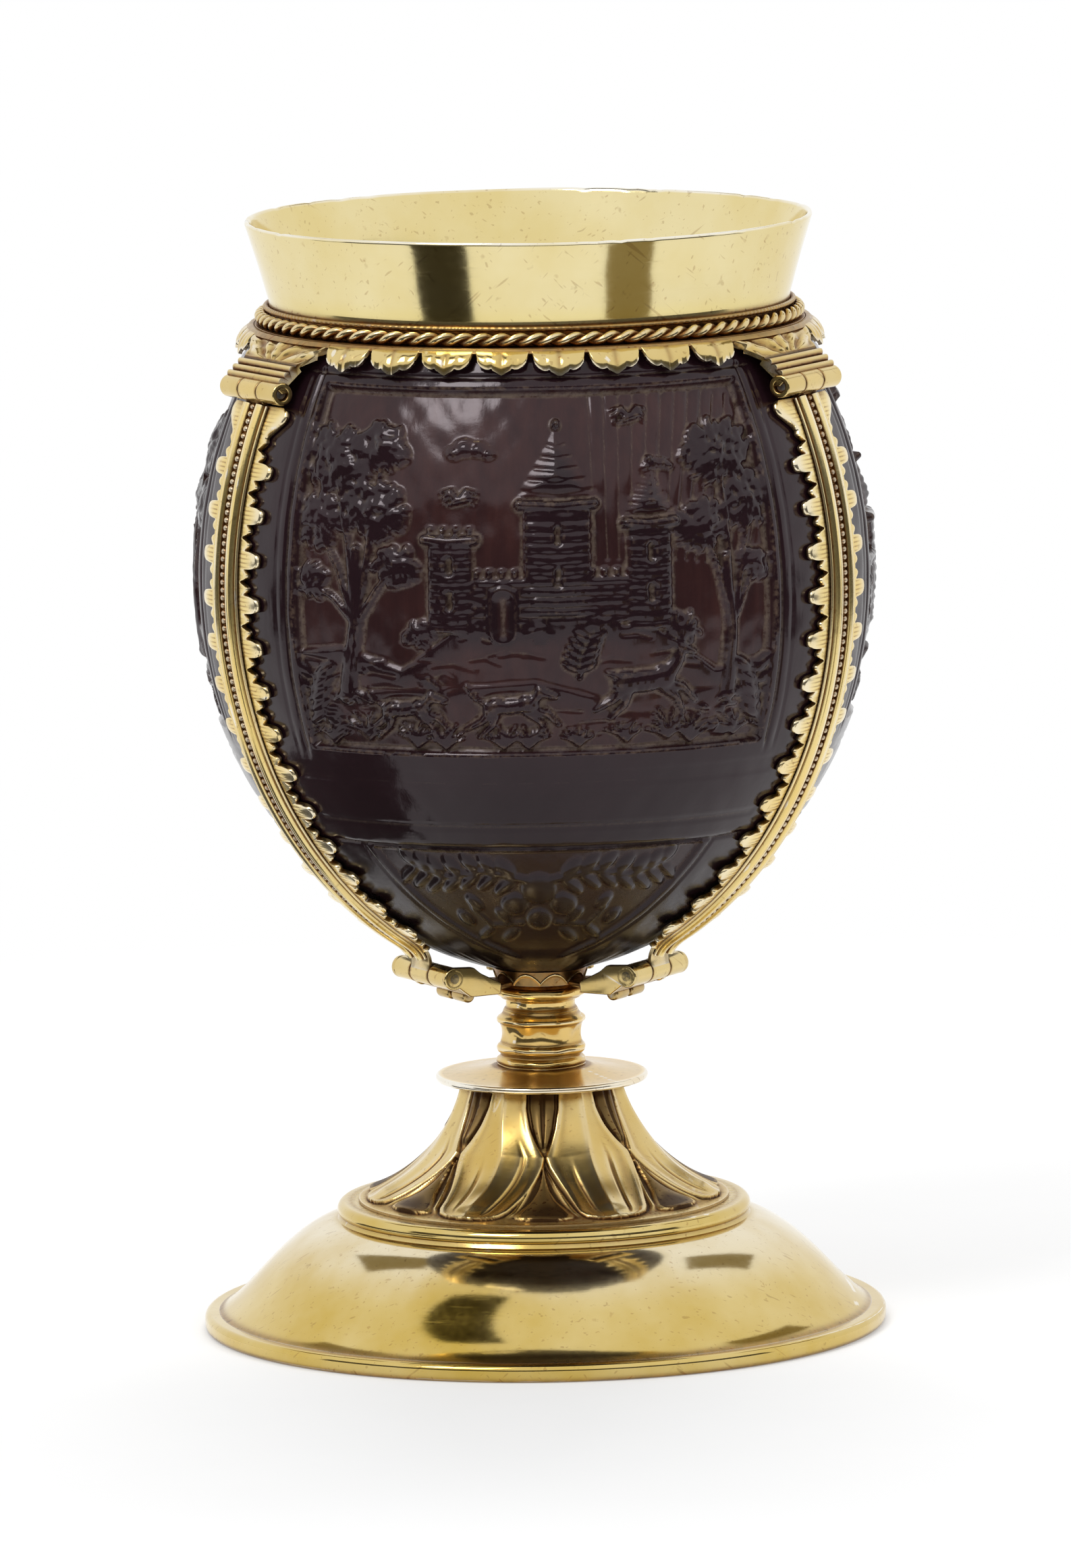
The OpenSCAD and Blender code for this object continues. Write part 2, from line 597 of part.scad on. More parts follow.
module leaf_skirt() {
    step = (120 - bracket_angle) / skirt_lobes;
    half = (flange_r + skirt_spread - 0.6) * sin(step / 2);
    rise = skirt_drop;
    notch = [[0, skirt_low + rise * 0.68], [half * 0.1, skirt_low + rise * 0.46],
        [half * 0.38, skirt_low + rise * 0.27], [half * 0.5, skirt_low + rise * 0.38],
        [half * 0.97, skirt_low + rise * 0.06]];
    cutter = concat(notch, [[half * 0.97, skirt_low - 2], [-half * 0.97, skirt_low - 2]],
        reversed([for (i = [1 : 4]) [-notch[i].x, notch[i].y]]));
    window = (flange_r + skirt_spread) * sin(bracket_angle / 2) - half * 0.5;
    outer = bezier([skirt_in_r + skirt_t, skirt_top], [skirt_in_r + skirt_t + 1.3, flange_z],
        [flange_r + skirt_spread - 0.3, skirt_low + rise * 0.45], [flange_r + skirt_spread, skirt_low], 6);
    inner = offset_path(reversed(outer), -skirt_t);
    color("goldenrod") difference() {
        turned(concat([[skirt_in_r, flange_z + 0.1], [skirt_in_r, skirt_top]], outer,
            [for (i = [0 : 4]) inner[i]]));
        for (s = [0 : 2]) {
            rotate([0, 0, az_left + 120 * s])
                radial_prism([[-window, skirt_low - 2], [window, skirt_low - 2],
                    [window, skirt_low + rise * 0.75], [-window, skirt_low + rise * 0.75]], 30, 60);
            for (i = [0 : skirt_lobes])
                rotate([0, 0, az_left + 120 * s + bracket_angle / 2 + step * i]) radial_prism(cutter, 30, 60);
        }
    }
}

// A bracket from the skirt down to two knuckles of an upper hinge
module bracket(az) {
    high = [skirt_in_r + skirt_t + 0.35, flange_z - 0.75];
    mid = [upper_r - 2.4, upper_z + 3.9];
    low = [upper_r + 0.6, upper_z + 1.2];
    wide = (flange_r + skirt_spread) * sin(bracket_angle / 2) - 0.5;
    leaf_low = mid + [-0.45, -0.35];
    leaf_band = [high, leaf_low, leaf_low + [-0.65, -0.5], high + [-0.2, -0.6]];
    z0 = mid.y - 0.6;
    z1 = high.y + 0.2;
    leaf_out = [[hinge_len / 2 - 0.8, z0], [hinge_len / 2 + 0.3, z0 + 0.7], [wide - 2.2, z0 + 0.8],
        [wide - 1.1, (z0 + z1) / 2], [wide - 1.5, (z0 + z1) / 2 + 0.3], [wide, z1 - 0.9], [wide - 0.4, z1]];
    rotate([0, 0, az]) difference() {
        union() {
            intersection() {
                turned(leaf_band);
                radial_prism(concat(leaf_out, reversed([for (q = leaf_out) [-q.x, q.y]])), 30, 60);
            }
            across([mid + [-0.4, 0.3], mid, low, upper_axis, upper_axis + [-1.2, 1], mid + [-1, -0.9]],
                hinge_len - 0.8);
            for (k = [0.12, 0.42, 0.72]) hinge_rod(mid + (low - mid) * k, 0.55, hinge_len - 0.3);
            for (side = [-1, 1])
                hinge_rod(upper_axis, knuckle_r, knuckle_len, side * (side_knuckle_y + knuckle_len / 2));
        }
        hinge_rod(upper_axis, knuckle_r + knuckle_gap + 0.1, knuckle_len + 2 * knuckle_gap);
        hinge_rod(upper_axis, bore_r, hinge_len + 2);
    }
}

module bracket_left() {
    color("goldenrod") bracket(az_left);
}

module bracket_right() {
    color("goldenrod") bracket(az_right);
}

module bracket_back() {
    color("goldenrod") bracket(az_back);
}

module upper_pin_ends() {
    color("silver") for (az = strap_az, side = [-1, 1])
        rotate([0, 0, az]) hinge_rod(upper_axis, pin_r, knuckle_len, side * (side_knuckle_y + knuckle_len / 2));
}

// Half width of the strap's border beyond the rib, one lobe between two cusps
function motif() = concat([[0, 0.3], [0.15, cusp_w]],
    [for (q = [0 : 30 : 180]) [0.5 - 0.21 * cos(q), cusp_w * 0.65 + (lobe_w - cusp_w * 0.65) * sin(q)]],
    [[0.85, cusp_w]]);
// The same where the plate flares out to a leaf under the upper hinge
function flare() = [[0, 0.3], [0.12, cusp_w * 0.85], [0.3, cusp_w * 0.8], [0.55, lobe_w * 0.7],
    [0.8, lobe_w * 0.97], [0.94, lobe_w * 0.95]];

// A strap's plate with a lobed border, and the knuckle at each of its ends
module strap_band(az) {
    count = max(1, round(strap_len / lobe_pitch));
    pitch = strap_len / count;
    z_at = [for (i = [0 : strap_n]) [strap_s[i], strap_path[i].y]];
    edge = concat([for (i = [0 : count - 1], m = i < count - 1 ? motif() : flare())
        [rib_w / 2 + m[1], lookup((i + m[0]) * pitch, z_at)]],
        [[rib_w / 2 + lobe_w * 0.8, offset_path(strap_path, plate_out)[strap_n].y]]);
    top_in = offset_path(strap_path, plate_in)[strap_n];
    top_out = offset_path(strap_path, plate_out)[strap_n];
    low_in = offset_path(strap_path, plate_in)[0];
    low_out = offset_path(strap_path, plate_out)[0];
    rotate([0, 0, az]) difference() {
        union() {
            intersection() {
                turned(concat(offset_path(strap_path, plate_out), reversed(offset_path(strap_path, plate_in))));
                radial_prism(concat(edge, reversed([for (q = edge) [-q.x, q.y]])), 5, 70);
            }
            across([top_in + [0, -0.6], top_out + [0, -0.6], upper_axis + [knuckle_r * 0.8, -0.4],
                upper_axis + [-knuckle_r * 0.8, 0]], knuckle_len);
            across([low_in + [0.5, 0.4], low_out + [0.5, 0.4], lower_axis + [knuckle_r * 0.9, 0],
                lower_axis + [-knuckle_r * 0.4, knuckle_r * 0.8]], knuckle_len);
            hinge_rod(upper_axis, knuckle_r, knuckle_len);
            hinge_rod(lower_axis, knuckle_r, knuckle_len);
        }
        hinge_rod(upper_axis, bore_r, hinge_len);
        hinge_rod(lower_axis, bore_r, hinge_len);
    }
}

// The reeded rib: two round reeds with a channel between them, swept up the strap
module strap_rib(az) {
    reed = (rib_w - channel_w) / 2;
    bed = solder_gap;
    half = [[rib_w / 2, bed], [rib_w / 2, rib_h * 0.45], [rib_w / 2 - reed * 0.22, rib_h * 0.88],
        [rib_w / 2 - reed * 0.5, rib_h], [rib_w / 2 - reed * 0.78, rib_h * 0.88],
        [channel_w / 2, rib_h * 0.35]];
    shape = concat(half, reversed([for (q = half) [-q.x, q.y]]));
    m = len(shape);
    lanes = [for (q = shape) offset_path(rib_path, plate_out + q.y)];
    pts = [for (i = [0 : strap_n], j = [0 : m - 1]) [lanes[j][i].x, shape[j].x, lanes[j][i].y]];
    skin = [for (i = [0 : strap_n - 1], j = [0 : m - 1], f = [0, 1]) let (j2 = (j + 1) % m)
        f == 0 ? [i * m + j, i * m + j2, i * m + m + j] : [i * m + j2, i * m + m + j2, i * m + m + j]];
    top_flat = concat([for (j = [0 : 3]) [j, j + 1, 5]], [[0, 5, 6], [0, 6, 11]],
        [for (j = [7 : 10]) [6, j, j + 1]]);
    low_cap = [for (t = top_flat) [t[0], t[2], t[1]]];
    top_cap = [for (t = top_flat) [t[0] + strap_n * m, t[1] + strap_n * m, t[2] + strap_n * m]];
    rotate([0, 0, az]) polyhedron(pts, concat(skin, low_cap, top_cap));
}

// The beaded wire that lies in the rib's channel
module strap_beading(az) {
    count = floor(rib_len / bead_pitch);
    pitch = rib_len / count;
    base = plate_out + rib_h * 0.35 + solder_gap;
    floor_path = offset_path(rib_path, base);
    low_path = offset_path(rib_path, base + 0.2);
    high_path = offset_path(rib_path, base + rib_h * 0.62);
    function on(p, s) = [lookup(s, [for (i = [0 : strap_n]) [rib_len * i / strap_n, p[i].x]]),
        lookup(s, [for (i = [0 : strap_n]) [rib_len * i / strap_n, p[i].y]])];
    beads = [for (i = [0 : count - 1], k = [0, 0.25, 0.5, 0.75])
        let (lo = on(low_path, (i + k) * pitch), hi = on(high_path, (i + k) * pitch))
        k == 0 ? lo : k == 0.5 ? hi : lo * 0.3 + hi * 0.7];
    rotate([0, 0, az]) across(concat(beads, [low_path[strap_n]], reversed(floor_path)),
        channel_w - 2 * solder_gap - 0.3);
}

module strap_pin_core(az) {
    rotate([0, 0, az]) hinge_rod(upper_axis, pin_r, knuckle_len);
}

module strap_left_band() {
    color("gold") strap_band(az_left);
}

module strap_left_rib() {
    color("gold") strap_rib(az_left);
}

module strap_left_beading() {
    color("gold") strap_beading(az_left);
}

module strap_left_pin_core() {
    color("silver") strap_pin_core(az_left);
}

module strap_right_band() {
    color("gold") strap_band(az_right);
}

module strap_right_rib() {
    color("gold") strap_rib(az_right);
}

module strap_right_beading() {
    color("gold") strap_beading(az_right);
}

module strap_right_pin_core() {
    color("silver") strap_pin_core(az_right);
}

module strap_back_band() {
    color("gold") strap_band(az_back);
}

module strap_back_rib() {
    color("gold") strap_rib(az_back);
}

module strap_back_beading() {
    color("gold") strap_beading(az_back);
}

module strap_back_pin_core() {
    color("silver") strap_pin_core(az_back);
}

foot_rim();
foot_dome();
leaf_trumpet();
throat_plate();
trumpet_leaves();
collar_disc();
stem_spool();
calyx_socket();
calyx_dish();
lower_hinge_left();
lower_hinge_right();
lower_hinge_back();
lower_hinge_pins();
tie_bolt();
tie_nut();
tie_washer();
coconut_shell();
lip_band();
lip_seat();
rope_wire();
rope_fillet();
leaf_skirt();
bracket_left();
bracket_right();
bracket_back();
upper_pin_ends();
strap_left_band();
strap_left_rib();
strap_left_beading();
strap_left_pin_core();
strap_right_band();
strap_right_rib();
strap_right_beading();
strap_right_pin_core();
strap_back_band();
strap_back_rib();
strap_back_beading();
strap_back_pin_core();
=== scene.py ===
import math

import bmesh
import bpy
import numpy as np
from mathutils import Matrix, Vector


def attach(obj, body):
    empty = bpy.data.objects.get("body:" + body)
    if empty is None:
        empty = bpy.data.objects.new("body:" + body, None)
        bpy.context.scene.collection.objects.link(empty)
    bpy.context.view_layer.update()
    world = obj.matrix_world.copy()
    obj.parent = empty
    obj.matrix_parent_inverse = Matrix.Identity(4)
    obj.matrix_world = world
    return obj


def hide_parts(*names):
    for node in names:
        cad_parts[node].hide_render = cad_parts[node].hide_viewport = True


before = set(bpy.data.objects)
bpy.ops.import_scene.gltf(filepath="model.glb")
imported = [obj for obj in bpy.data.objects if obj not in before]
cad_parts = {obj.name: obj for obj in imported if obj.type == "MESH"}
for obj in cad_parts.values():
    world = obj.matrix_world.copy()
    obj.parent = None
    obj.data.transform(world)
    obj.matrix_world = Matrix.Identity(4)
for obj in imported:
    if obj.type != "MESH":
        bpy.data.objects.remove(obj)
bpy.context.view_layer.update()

# All lengths below are millimetres, as in the part's source. MM brings them to metres.
MM = 0.001
TAU = 2 * math.pi
STRAPS = {"left": math.radians(210), "right": math.radians(330), "back": math.radians(90)}
SIDES = (-1, 1)

SHEET, BOLT_BORE, AXIS_R = 0.9, 2.05, 0.02
SHELL_R, SHELL_LOW, SHELL_UP, POWER = 50.6, 60.2, 58.4, 1.12
BELLY_Z, MOUTH_Z, MOUTH_UP, WALL = 112.9, 148.7, 35.8, 3.6
DISC_LOW, DISC_TOP, SPOOL_TOP, SOCKET_TOP = 36.6, 38.8, 47.1, 51.3
UPPER = np.array([46.12, 142.3])
LOWER = np.array([19.1, 54.14])
KNUCKLE_R, KNUCKLE_BORE, PIN_R = 1.65, 0.9, 0.85
KNUCKLE_LEN, KNUCKLE_GAP = 15.7 / 3, 0.15
OUTER_KNUCKLE = KNUCKLE_LEN / 2 + KNUCKLE_GAP


# Small helpers

def smooth(lo, hi, x):
    """Zero at lo and one at hi, with soft ends."""
    t = np.clip((x - lo) / (hi - lo), 0, 1)
    return t * t * (3 - 2 * t)


def bump(x, at, width):
    return np.exp(-((x - at) / width) ** 2)


def wrapped(a):
    """An angle brought to within half a turn of zero."""
    return np.angle(np.exp(1j * a))


def span(side, a, b):
    """The two ends of a stretch on one side of a hinge, the lower first."""
    return sorted((side * a, side * b))


def bezier(p0, p1, p2, p3, n):
    t = np.linspace(0, 1, n + 1)[:, None]
    u = 1 - t
    return (u ** 3 * np.array(p0) + 3 * u * u * t * np.array(p1) + 3 * u * t * t * np.array(p2)
            + t ** 3 * np.array(p3))


def arc(c, r, a0, a1, n):
    a = np.radians(np.linspace(a0, a1, n + 1))
    r = np.broadcast_to(np.array(r, float), (2,))
    return np.stack([c[0] + r[0] * np.cos(a), c[1] + r[1] * np.sin(a)], -1)


def along(p):
    """How far each point of a path lies from its start."""
    return np.concatenate([[0], np.cumsum(np.linalg.norm(np.diff(p, axis=0), axis=1))])


def path_normals(p):
    t = np.gradient(p, axis=0)
    n = np.stack([t[:, 1], -t[:, 0]], -1)
    return n / np.linalg.norm(n, axis=1, keepdims=True)


def softened(points, radius, n=4):
    """A closed profile with each corner rounded."""
    p = np.array(points, float)
    out = []
    for i in range(len(p)):
        a, b, c = p[i - 1], p[i], p[(i + 1) % len(p)]
        d1, d2 = np.linalg.norm(a - b), np.linalg.norm(c - b)
        if d1 < 1e-6 or d2 < 1e-6:
            continue
        q0 = b + (a - b) / d1 * min(radius, 0.45 * d1)
        q1 = b + (c - b) / d2 * min(radius, 0.45 * d2)
        for t in np.linspace(0, 1, n + 1):
            out.append((1 - t) ** 2 * q0 + 2 * t * (1 - t) * b + t * t * q1)
    return np.array(out)


def dense(p, step):
    """A closed profile with its long runs divided."""
    out = []
    for i in range(len(p)):
        a, b = p[i], p[(i + 1) % len(p)]
        k = max(1, int(math.ceil(np.linalg.norm(b - a) / step)))
        out += [a + (b - a) * j / k for j in range(k)]
    return np.array(out)


def waves(seed, count, top, rows):
    """A smooth uneven field over an angle and a height, about one unit high."""
    g = np.random.default_rng(seed)
    m = g.integers(1, top + 1, count)
    q = g.uniform(-rows, rows, count)
    ph = g.uniform(0, TAU, count)
    w = g.uniform(0.4, 1, count)
    w /= np.sqrt((w ** 2).sum() / 2)

    def field(theta, z):
        return sum(w[k] * np.cos(m[k] * theta + q[k] * z + ph[k]) for k in range(count))
    return field


def blurred(h, times, step=1):
    """A field that closes on itself sideways, with its detail smoothed away."""
    for _ in range(times):
        h = (np.roll(h, step, 1) + np.roll(h, -step, 1) + 2 * h) / 4
        pad = np.vstack([h[:1], h, h[-1:]])
        h = (pad[:-2] + pad[2:] + 2 * h) / 4
    return h


def around(r, th, z):
    """Points on circles about the cup's axis."""
    return np.stack([r * np.cos(th), r * np.sin(th), z + 0 * r * th], -1)


def turn(p, az):
    c, s = math.cos(az), math.sin(az)
    return np.stack([p[..., 0] * c - p[..., 1] * s, p[..., 0] * s + p[..., 1] * c, p[..., 2]], -1)


class Solid:
    """Collects grids of points into one mesh. Each point carries four chase values: tarnish and painted shade
    (below zero: worn bare), stipple, hatch and the place along the hatch. One number, or one for each point, is
    the first alone."""
    ROD_SIDES = 40

    def __init__(self):
        self.points, self.faces, self.chase, self.count = [], [], [], 0

    def grid(self, p, wrap_u=False, wrap_v=False, chase=0.0):
        nu, nv = p.shape[:2]
        at = np.arange(nu * nv).reshape(nu, nv) + self.count
        a = np.vstack([at, at[:1]]) if wrap_u else at
        a = np.hstack([a, a[:, :1]]) if wrap_v else a
        quads = np.stack([a[:-1, :-1], a[1:, :-1], a[1:, 1:], a[:-1, 1:]], -1).reshape(-1, 4)
        c = np.zeros((nu, nv, 4))
        if np.ndim(chase) == 3:
            c[:] = chase
        else:
            c[..., 0] = chase
        self.points.append(p.reshape(-1, 3))
        self.faces += quads.tolist()
        self.chase.append(c.reshape(-1, 4))
        self.count += nu * nv
        return at

    def face(self, ids):
        self.faces.append([int(i) for i in ids])

    def tube(self, p, chase=0.0):
        """Rings of points, closed round each ring and capped at both ends."""
        at = self.grid(p, wrap_v=True, chase=chase)
        self.face(at[0])
        self.face(at[-1][::-1])

    def sleeve(self, p, chase=0.0):
        """Rows of points, closed from the last row to the first and capped at both sides."""
        at = self.grid(p, wrap_u=True, chase=chase)
        self.face(at[:, 0])
        self.face(at[:, -1][::-1])

    def lathe(self, profile, n=256, bend=None, chase=None):
        """A closed profile turned about the axis. Chase has a row for each of its points."""
        th = np.arange(n) / n * TAU
        r, z = (np.repeat(profile[:, i:i + 1], n, 1) for i in (0, 1))
        if bend is not None:
            dr, dz = bend(th[None, :], r, z)
            r, z = r + dr, z + dz
        self.grid(around(r, th, z), True, True, 0.0 if chase is None else np.repeat(chase[:, None], n, 1))

    def rod(self, axis, y0, y1, r, az, soft=0.25, bore=0.0, tarnish_and_shade=0.0, joints=()):
        """A round bar along the hinge direction, with soft ends, dark at its joints, and a bore if asked for."""
        if bore:
            prof = dense(softened([(bore, y0), (r, y0), (r, y1), (bore, y1)], soft), 0.35)
        else:
            quarter = np.linspace(0, math.pi / 2, 5)
            prof = [(AXIS_R, y0)]
            prof += [(r - soft + soft * math.sin(a), y0 + soft - soft * math.cos(a)) for a in quarter]
            prof += [(r - soft + soft * math.cos(a), y1 - soft + soft * math.sin(a)) for a in quarter]
            prof = np.array(prof + [(AXIS_R, y1)])
        th = np.arange(self.ROD_SIDES) / self.ROD_SIDES * TAU
        out, y = prof[:, :1], np.repeat(prof[:, 1:], self.ROD_SIDES, 1)
        p = np.stack([axis[0] + out * np.cos(th), y, axis[1] + out * np.sin(th)], -1)
        dark = tarnish_and_shade + sum(bump(y, joint, 0.2) for joint in joints)
        if bore:
            dark = dark + smooth(bore + 0.16, bore + 0.04, out)
        self.grid(turn(p, az), True, True, dark)

    def prism(self, outline, y0, y1, az, soft=0.2, tarnish_and_shade=0.0):
        """An outline in the strap's own plane, given a thickness, with soft edges."""
        o = np.array(outline, float)
        if np.sum(o[:, 0] * np.roll(o[:, 1], -1) - np.roll(o[:, 0], -1) * o[:, 1]) < 0:
            o = o[::-1]
        o = softened(o, soft * 1.5, 3)
        t = np.roll(o, -1, 0) - np.roll(o, 1, 0)
        nrm = np.stack([-t[:, 1], t[:, 0]], -1)
        nrm /= np.linalg.norm(nrm, axis=1, keepdims=True) + 1e-9
        quarter = [k / 3 * math.pi / 2 for k in range(4)]
        rings = [(1 - math.sin(a), y0 + soft * (1 - math.cos(a))) for a in quarter]
        rings += [(1 - math.cos(a), y1 - soft * (1 - math.sin(a))) for a in quarter]
        p = np.array([np.insert(o + nrm * soft * k, 1, y, axis=1) for k, y in rings])
        self.tube(turn(p, az), tarnish_and_shade)

    def unwrap(self, me, uv):
        """A map from each point's own place; faces that close the ring run on to its far edge."""
        at, first, count = (np.empty(n, int) for n in (len(me.loops), len(me.polygons), len(me.polygons)))
        me.loops.foreach_get("vertex_index", at)
        me.polygons.foreach_get("loop_start", first)
        me.polygons.foreach_get("loop_total", count)
        place = uv[at]
        quad = first[count == 4][:, None] + np.arange(4)
        u = place[quad, 0]
        u[(np.ptp(u, axis=1) > 0.5)[:, None] & (u < 0.5)] += 1.0
        place[quad, 0] = u
        me.uv_layers.new(name="OFBake").data.foreach_set("uv", place.astype(np.float32).ravel())

    def make(self, name, mat, body, nodes, sharp=40, slot="gilt", attribute="chase", uv=None):
        me = bpy.data.meshes.new(name)
        me.from_pydata((np.concatenate(self.points) * MM).tolist(), [], self.faces)
        b = bmesh.new()
        b.from_mesh(me)
        bmesh.ops.recalc_face_normals(b, faces=b.faces)
        b.to_mesh(me)
        b.free()
        me.polygons.foreach_set("use_smooth", [True] * len(me.polygons))
        me.set_sharp_from_angle(angle=math.radians(sharp))
        layer = me.attributes.new(attribute, "FLOAT_COLOR", "POINT")
        layer.data.foreach_set("color", np.concatenate(self.chase).astype(np.float32).ravel())
        if uv is not None:
            self.unwrap(me, uv)
        me.materials.append(mat)
        o = bpy.data.objects.new(name, me)
        bpy.context.scene.collection.objects.link(o)
        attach(o, body)
        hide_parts(*nodes)


# Materials

class Nodes:
    """Builds one node tree, a material's or the world's."""

    def __init__(self, name, world=False):
        self.owner = (bpy.data.worlds if world else bpy.data.materials).new(name)
        self.owner.use_nodes = True
        self.tree = self.owner.node_tree
        self.tree.nodes.clear()
        self.out = self.tree.nodes.new("ShaderNodeOutputWorld" if world else "ShaderNodeOutputMaterial")

    def put(self, socket, value):
        if hasattr(value, "is_output"):
            self.tree.links.new(value, socket)
        else:
            socket.default_value = value

    def add(self, kind, out=0, _set=None, **inputs):
        """A node, by the output that is wanted. Inputs are named, or numbered as i0, i1 and so on."""
        n = self.tree.nodes.new(kind)
        for k, v in (_set or {}).items():
            setattr(n, k, v)
        for k, v in inputs.items():
            numbered = k[0] == "i" and k[1:].isdigit()
            self.put(n.inputs[int(k[1:]) if numbered else k.replace("_", " ")], v)
        return n.outputs if out is None else n.outputs[out]

    def end(self, kind, **inputs):
        self.put(self.out.inputs[0], self.add(kind, **inputs))
        return self.owner

    def math(self, op, a, b=0.0, clamp=False):
        return self.add("ShaderNodeMath", _set={"operation": op, "use_clamp": clamp}, i0=a, i1=b)

    def plus(self, a, b, clamp=False):
        return self.math("ADD", a, b, clamp)

    def times(self, a, b, clamp=False):
        return self.math("MULTIPLY", a, b, clamp)

    def most(self, a, b):
        return self.math("MAXIMUM", a, b)

    def mix(self, fac, a, b):
        a, b = ((*c, 1) if type(c) is tuple else c for c in (a, b))
        return self.add("ShaderNodeMix", 2, {"data_type": "RGBA"}, i0=fac, i6=a, i7=b)

    def range(self, v, a, b, lo=0.0, hi=1.0):
        return self.add("ShaderNodeMapRange", Value=v, From_Min=a, From_Max=b, To_Min=lo, To_Max=hi)

    def noise(self, vec, scale, detail=3.0, rough=0.55):
        return self.add("ShaderNodeTexNoise", Vector=vec, Scale=scale, Detail=detail, Roughness=rough)

    def place(self, scale=(1, 1, 1), slant=(0, 0, 0)):
        co = self.add("ShaderNodeTexCoord", "Object")
        if slant != (0, 0, 0):
            co = self.add("ShaderNodeMapping", Vector=co, Rotation=slant)
        return co if scale == (1, 1, 1) else self.add("ShaderNodeMapping", Vector=co, Scale=scale)

    def channels(self, attribute):
        """The four values that a piece's points carry."""
        got = self.add("ShaderNodeAttribute", None, {"attribute_name": attribute})
        part = self.add("ShaderNodeSeparateColor", None, Color=got["Color"])
        return part[0], part[1], part[2], got["Alpha"]

    def seen(self):
        """One for rays from the camera and for those that polished or clear surfaces send on."""
        path = self.add("ShaderNodeLightPath", None)
        return self.most(path["Is Camera Ray"], self.most(path["Is Glossy Ray"], path["Is Transmission Ray"]))


HAIR_SLANTS = ((0.2, 0.7, 0.5), (0.5, -0.4, -0.8))
HATCH_PITCH = 0.62


def gilt(name, deep, light, polish=0.0, shade_and_grime=1.0, edges=0.7):
    """Silver-gilt: pale gold, worn whiter on edges, tarnish and painted shade in the hollows, with fine scratches.
    """
    n = Nodes(name)
    co = n.place()
    cloud = n.noise(co, 48.0, 4.0)
    grain = n.noise(co, 900.0, 3.0)
    scratch = n.noise(n.place((160.0, 160.0, 2400.0)), 1.0, 2.0)
    hairs = n.most(*(n.range(n.noise(n.place((70.0, 1500.0, 1500.0), slant), 1.0, 1.0), 0.69, 0.75)
                     for slant in HAIR_SLANTS))
    spots = n.range(n.noise(co, 560.0, 2.0), 0.68, 0.78)
    dots = n.add("ShaderNodeTexVoronoi", Vector=co, Scale=1500.0)
    tarn_and_shade, stip, hatch, place = n.channels("chase")
    lines = n.math("SINE", n.times(place, TAU / HATCH_PITCH))

    # Painted shade: ambient occlusion browns creases, hollows and places between parts, added to the tarnish and
    # painted shade that the points carry.
    hollow = n.range(n.add("ShaderNodeAmbientOcclusion", "AO", {"samples": 6}, Distance=0.0022), 0.78, 0.25)
    dull_and_shade = n.plus(n.times(hollow, 0.85 * shade_and_grime), n.times(n.range(tarn_and_shade, 0.0, 1.0), 0.9))
    dull_and_shade = n.times(dull_and_shade, n.range(cloud, 0.3, 0.72, 0.55, 1.25), True)
    deepest = n.range(tarn_and_shade, 1.0, 1.6)
    dull_and_shade = n.most(dull_and_shade, n.range(tarn_and_shade, 1.0, 1.6, 0.0, 0.96))
    cuts = n.plus(n.times(n.times(hatch, n.range(lines, 0.0, -0.9)), 0.55),
                  n.times(n.times(stip, n.range(dots, 0.35, 0.1)), 0.35))
    mask = n.plus(dull_and_shade, n.plus(n.times(hairs, 0.30), n.times(spots, 0.30 * shade_and_grime)), True)
    mask = n.plus(mask, cuts, True)

    edge = n.range(n.add("ShaderNodeNewGeometry", "Pointiness"), 0.53, 0.62, 0.0, edges)
    bare = n.times(n.range(tarn_and_shade, 0.0, -1.0), n.range(cloud, 0.36, 0.60, 0.35, 1.0))
    gold = n.mix(n.range(cloud, 0.35, 0.68), deep, light)
    gold = n.mix(n.most(edge, bare), gold, (0.90, 0.86, 0.76))
    brown = n.mix(n.range(grain, 0.35, 0.65), (0.30, 0.135, 0.035), (0.16, 0.075, 0.028))
    col = n.mix(mask, gold, n.mix(deepest, brown, (0.060, 0.028, 0.012)))

    even = 0.121 - 0.06 * polish
    rough = n.plus(n.range(grain, 0.3, 0.7, even, even + 0.028), n.times(dull_and_shade, 0.28))
    rough = n.plus(rough, n.range(scratch, 0.6, 0.75, 0.0, 0.04))
    rough = n.plus(rough, n.times(stip, 0.12))
    h = n.plus(n.times(grain, 0.10), n.times(scratch, 0.10))
    h = n.plus(h, n.times(n.times(dots, stip), 3.0))
    h = n.plus(h, n.times(n.times(lines, hatch), 0.8))
    normal = n.add("ShaderNodeBump", Height=h, Strength=0.35, Distance=0.00006)
    return n.end("ShaderNodeBsdfPrincipled", Base_Color=col, Metallic=1.0, Roughness=rough, Normal=normal)


def steel(name):
    """Iron pin ends, grey and rubbed."""
    n = Nodes(name)
    co = n.place()
    fine = n.noise(co, 2600.0, 2.0)
    col = n.mix(n.range(n.noise(co, 700.0, 4.0), 0.35, 0.65), (0.17, 0.16, 0.14), (0.48, 0.46, 0.42))
    normal = n.add("ShaderNodeBump", Height=fine, Strength=0.3, Distance=0.00008)
    return n.end("ShaderNodeBsdfPrincipled", Base_Color=col, Metallic=1.0,
                 Roughness=n.range(fine, 0.3, 0.7, 0.28, 0.5), Normal=normal)


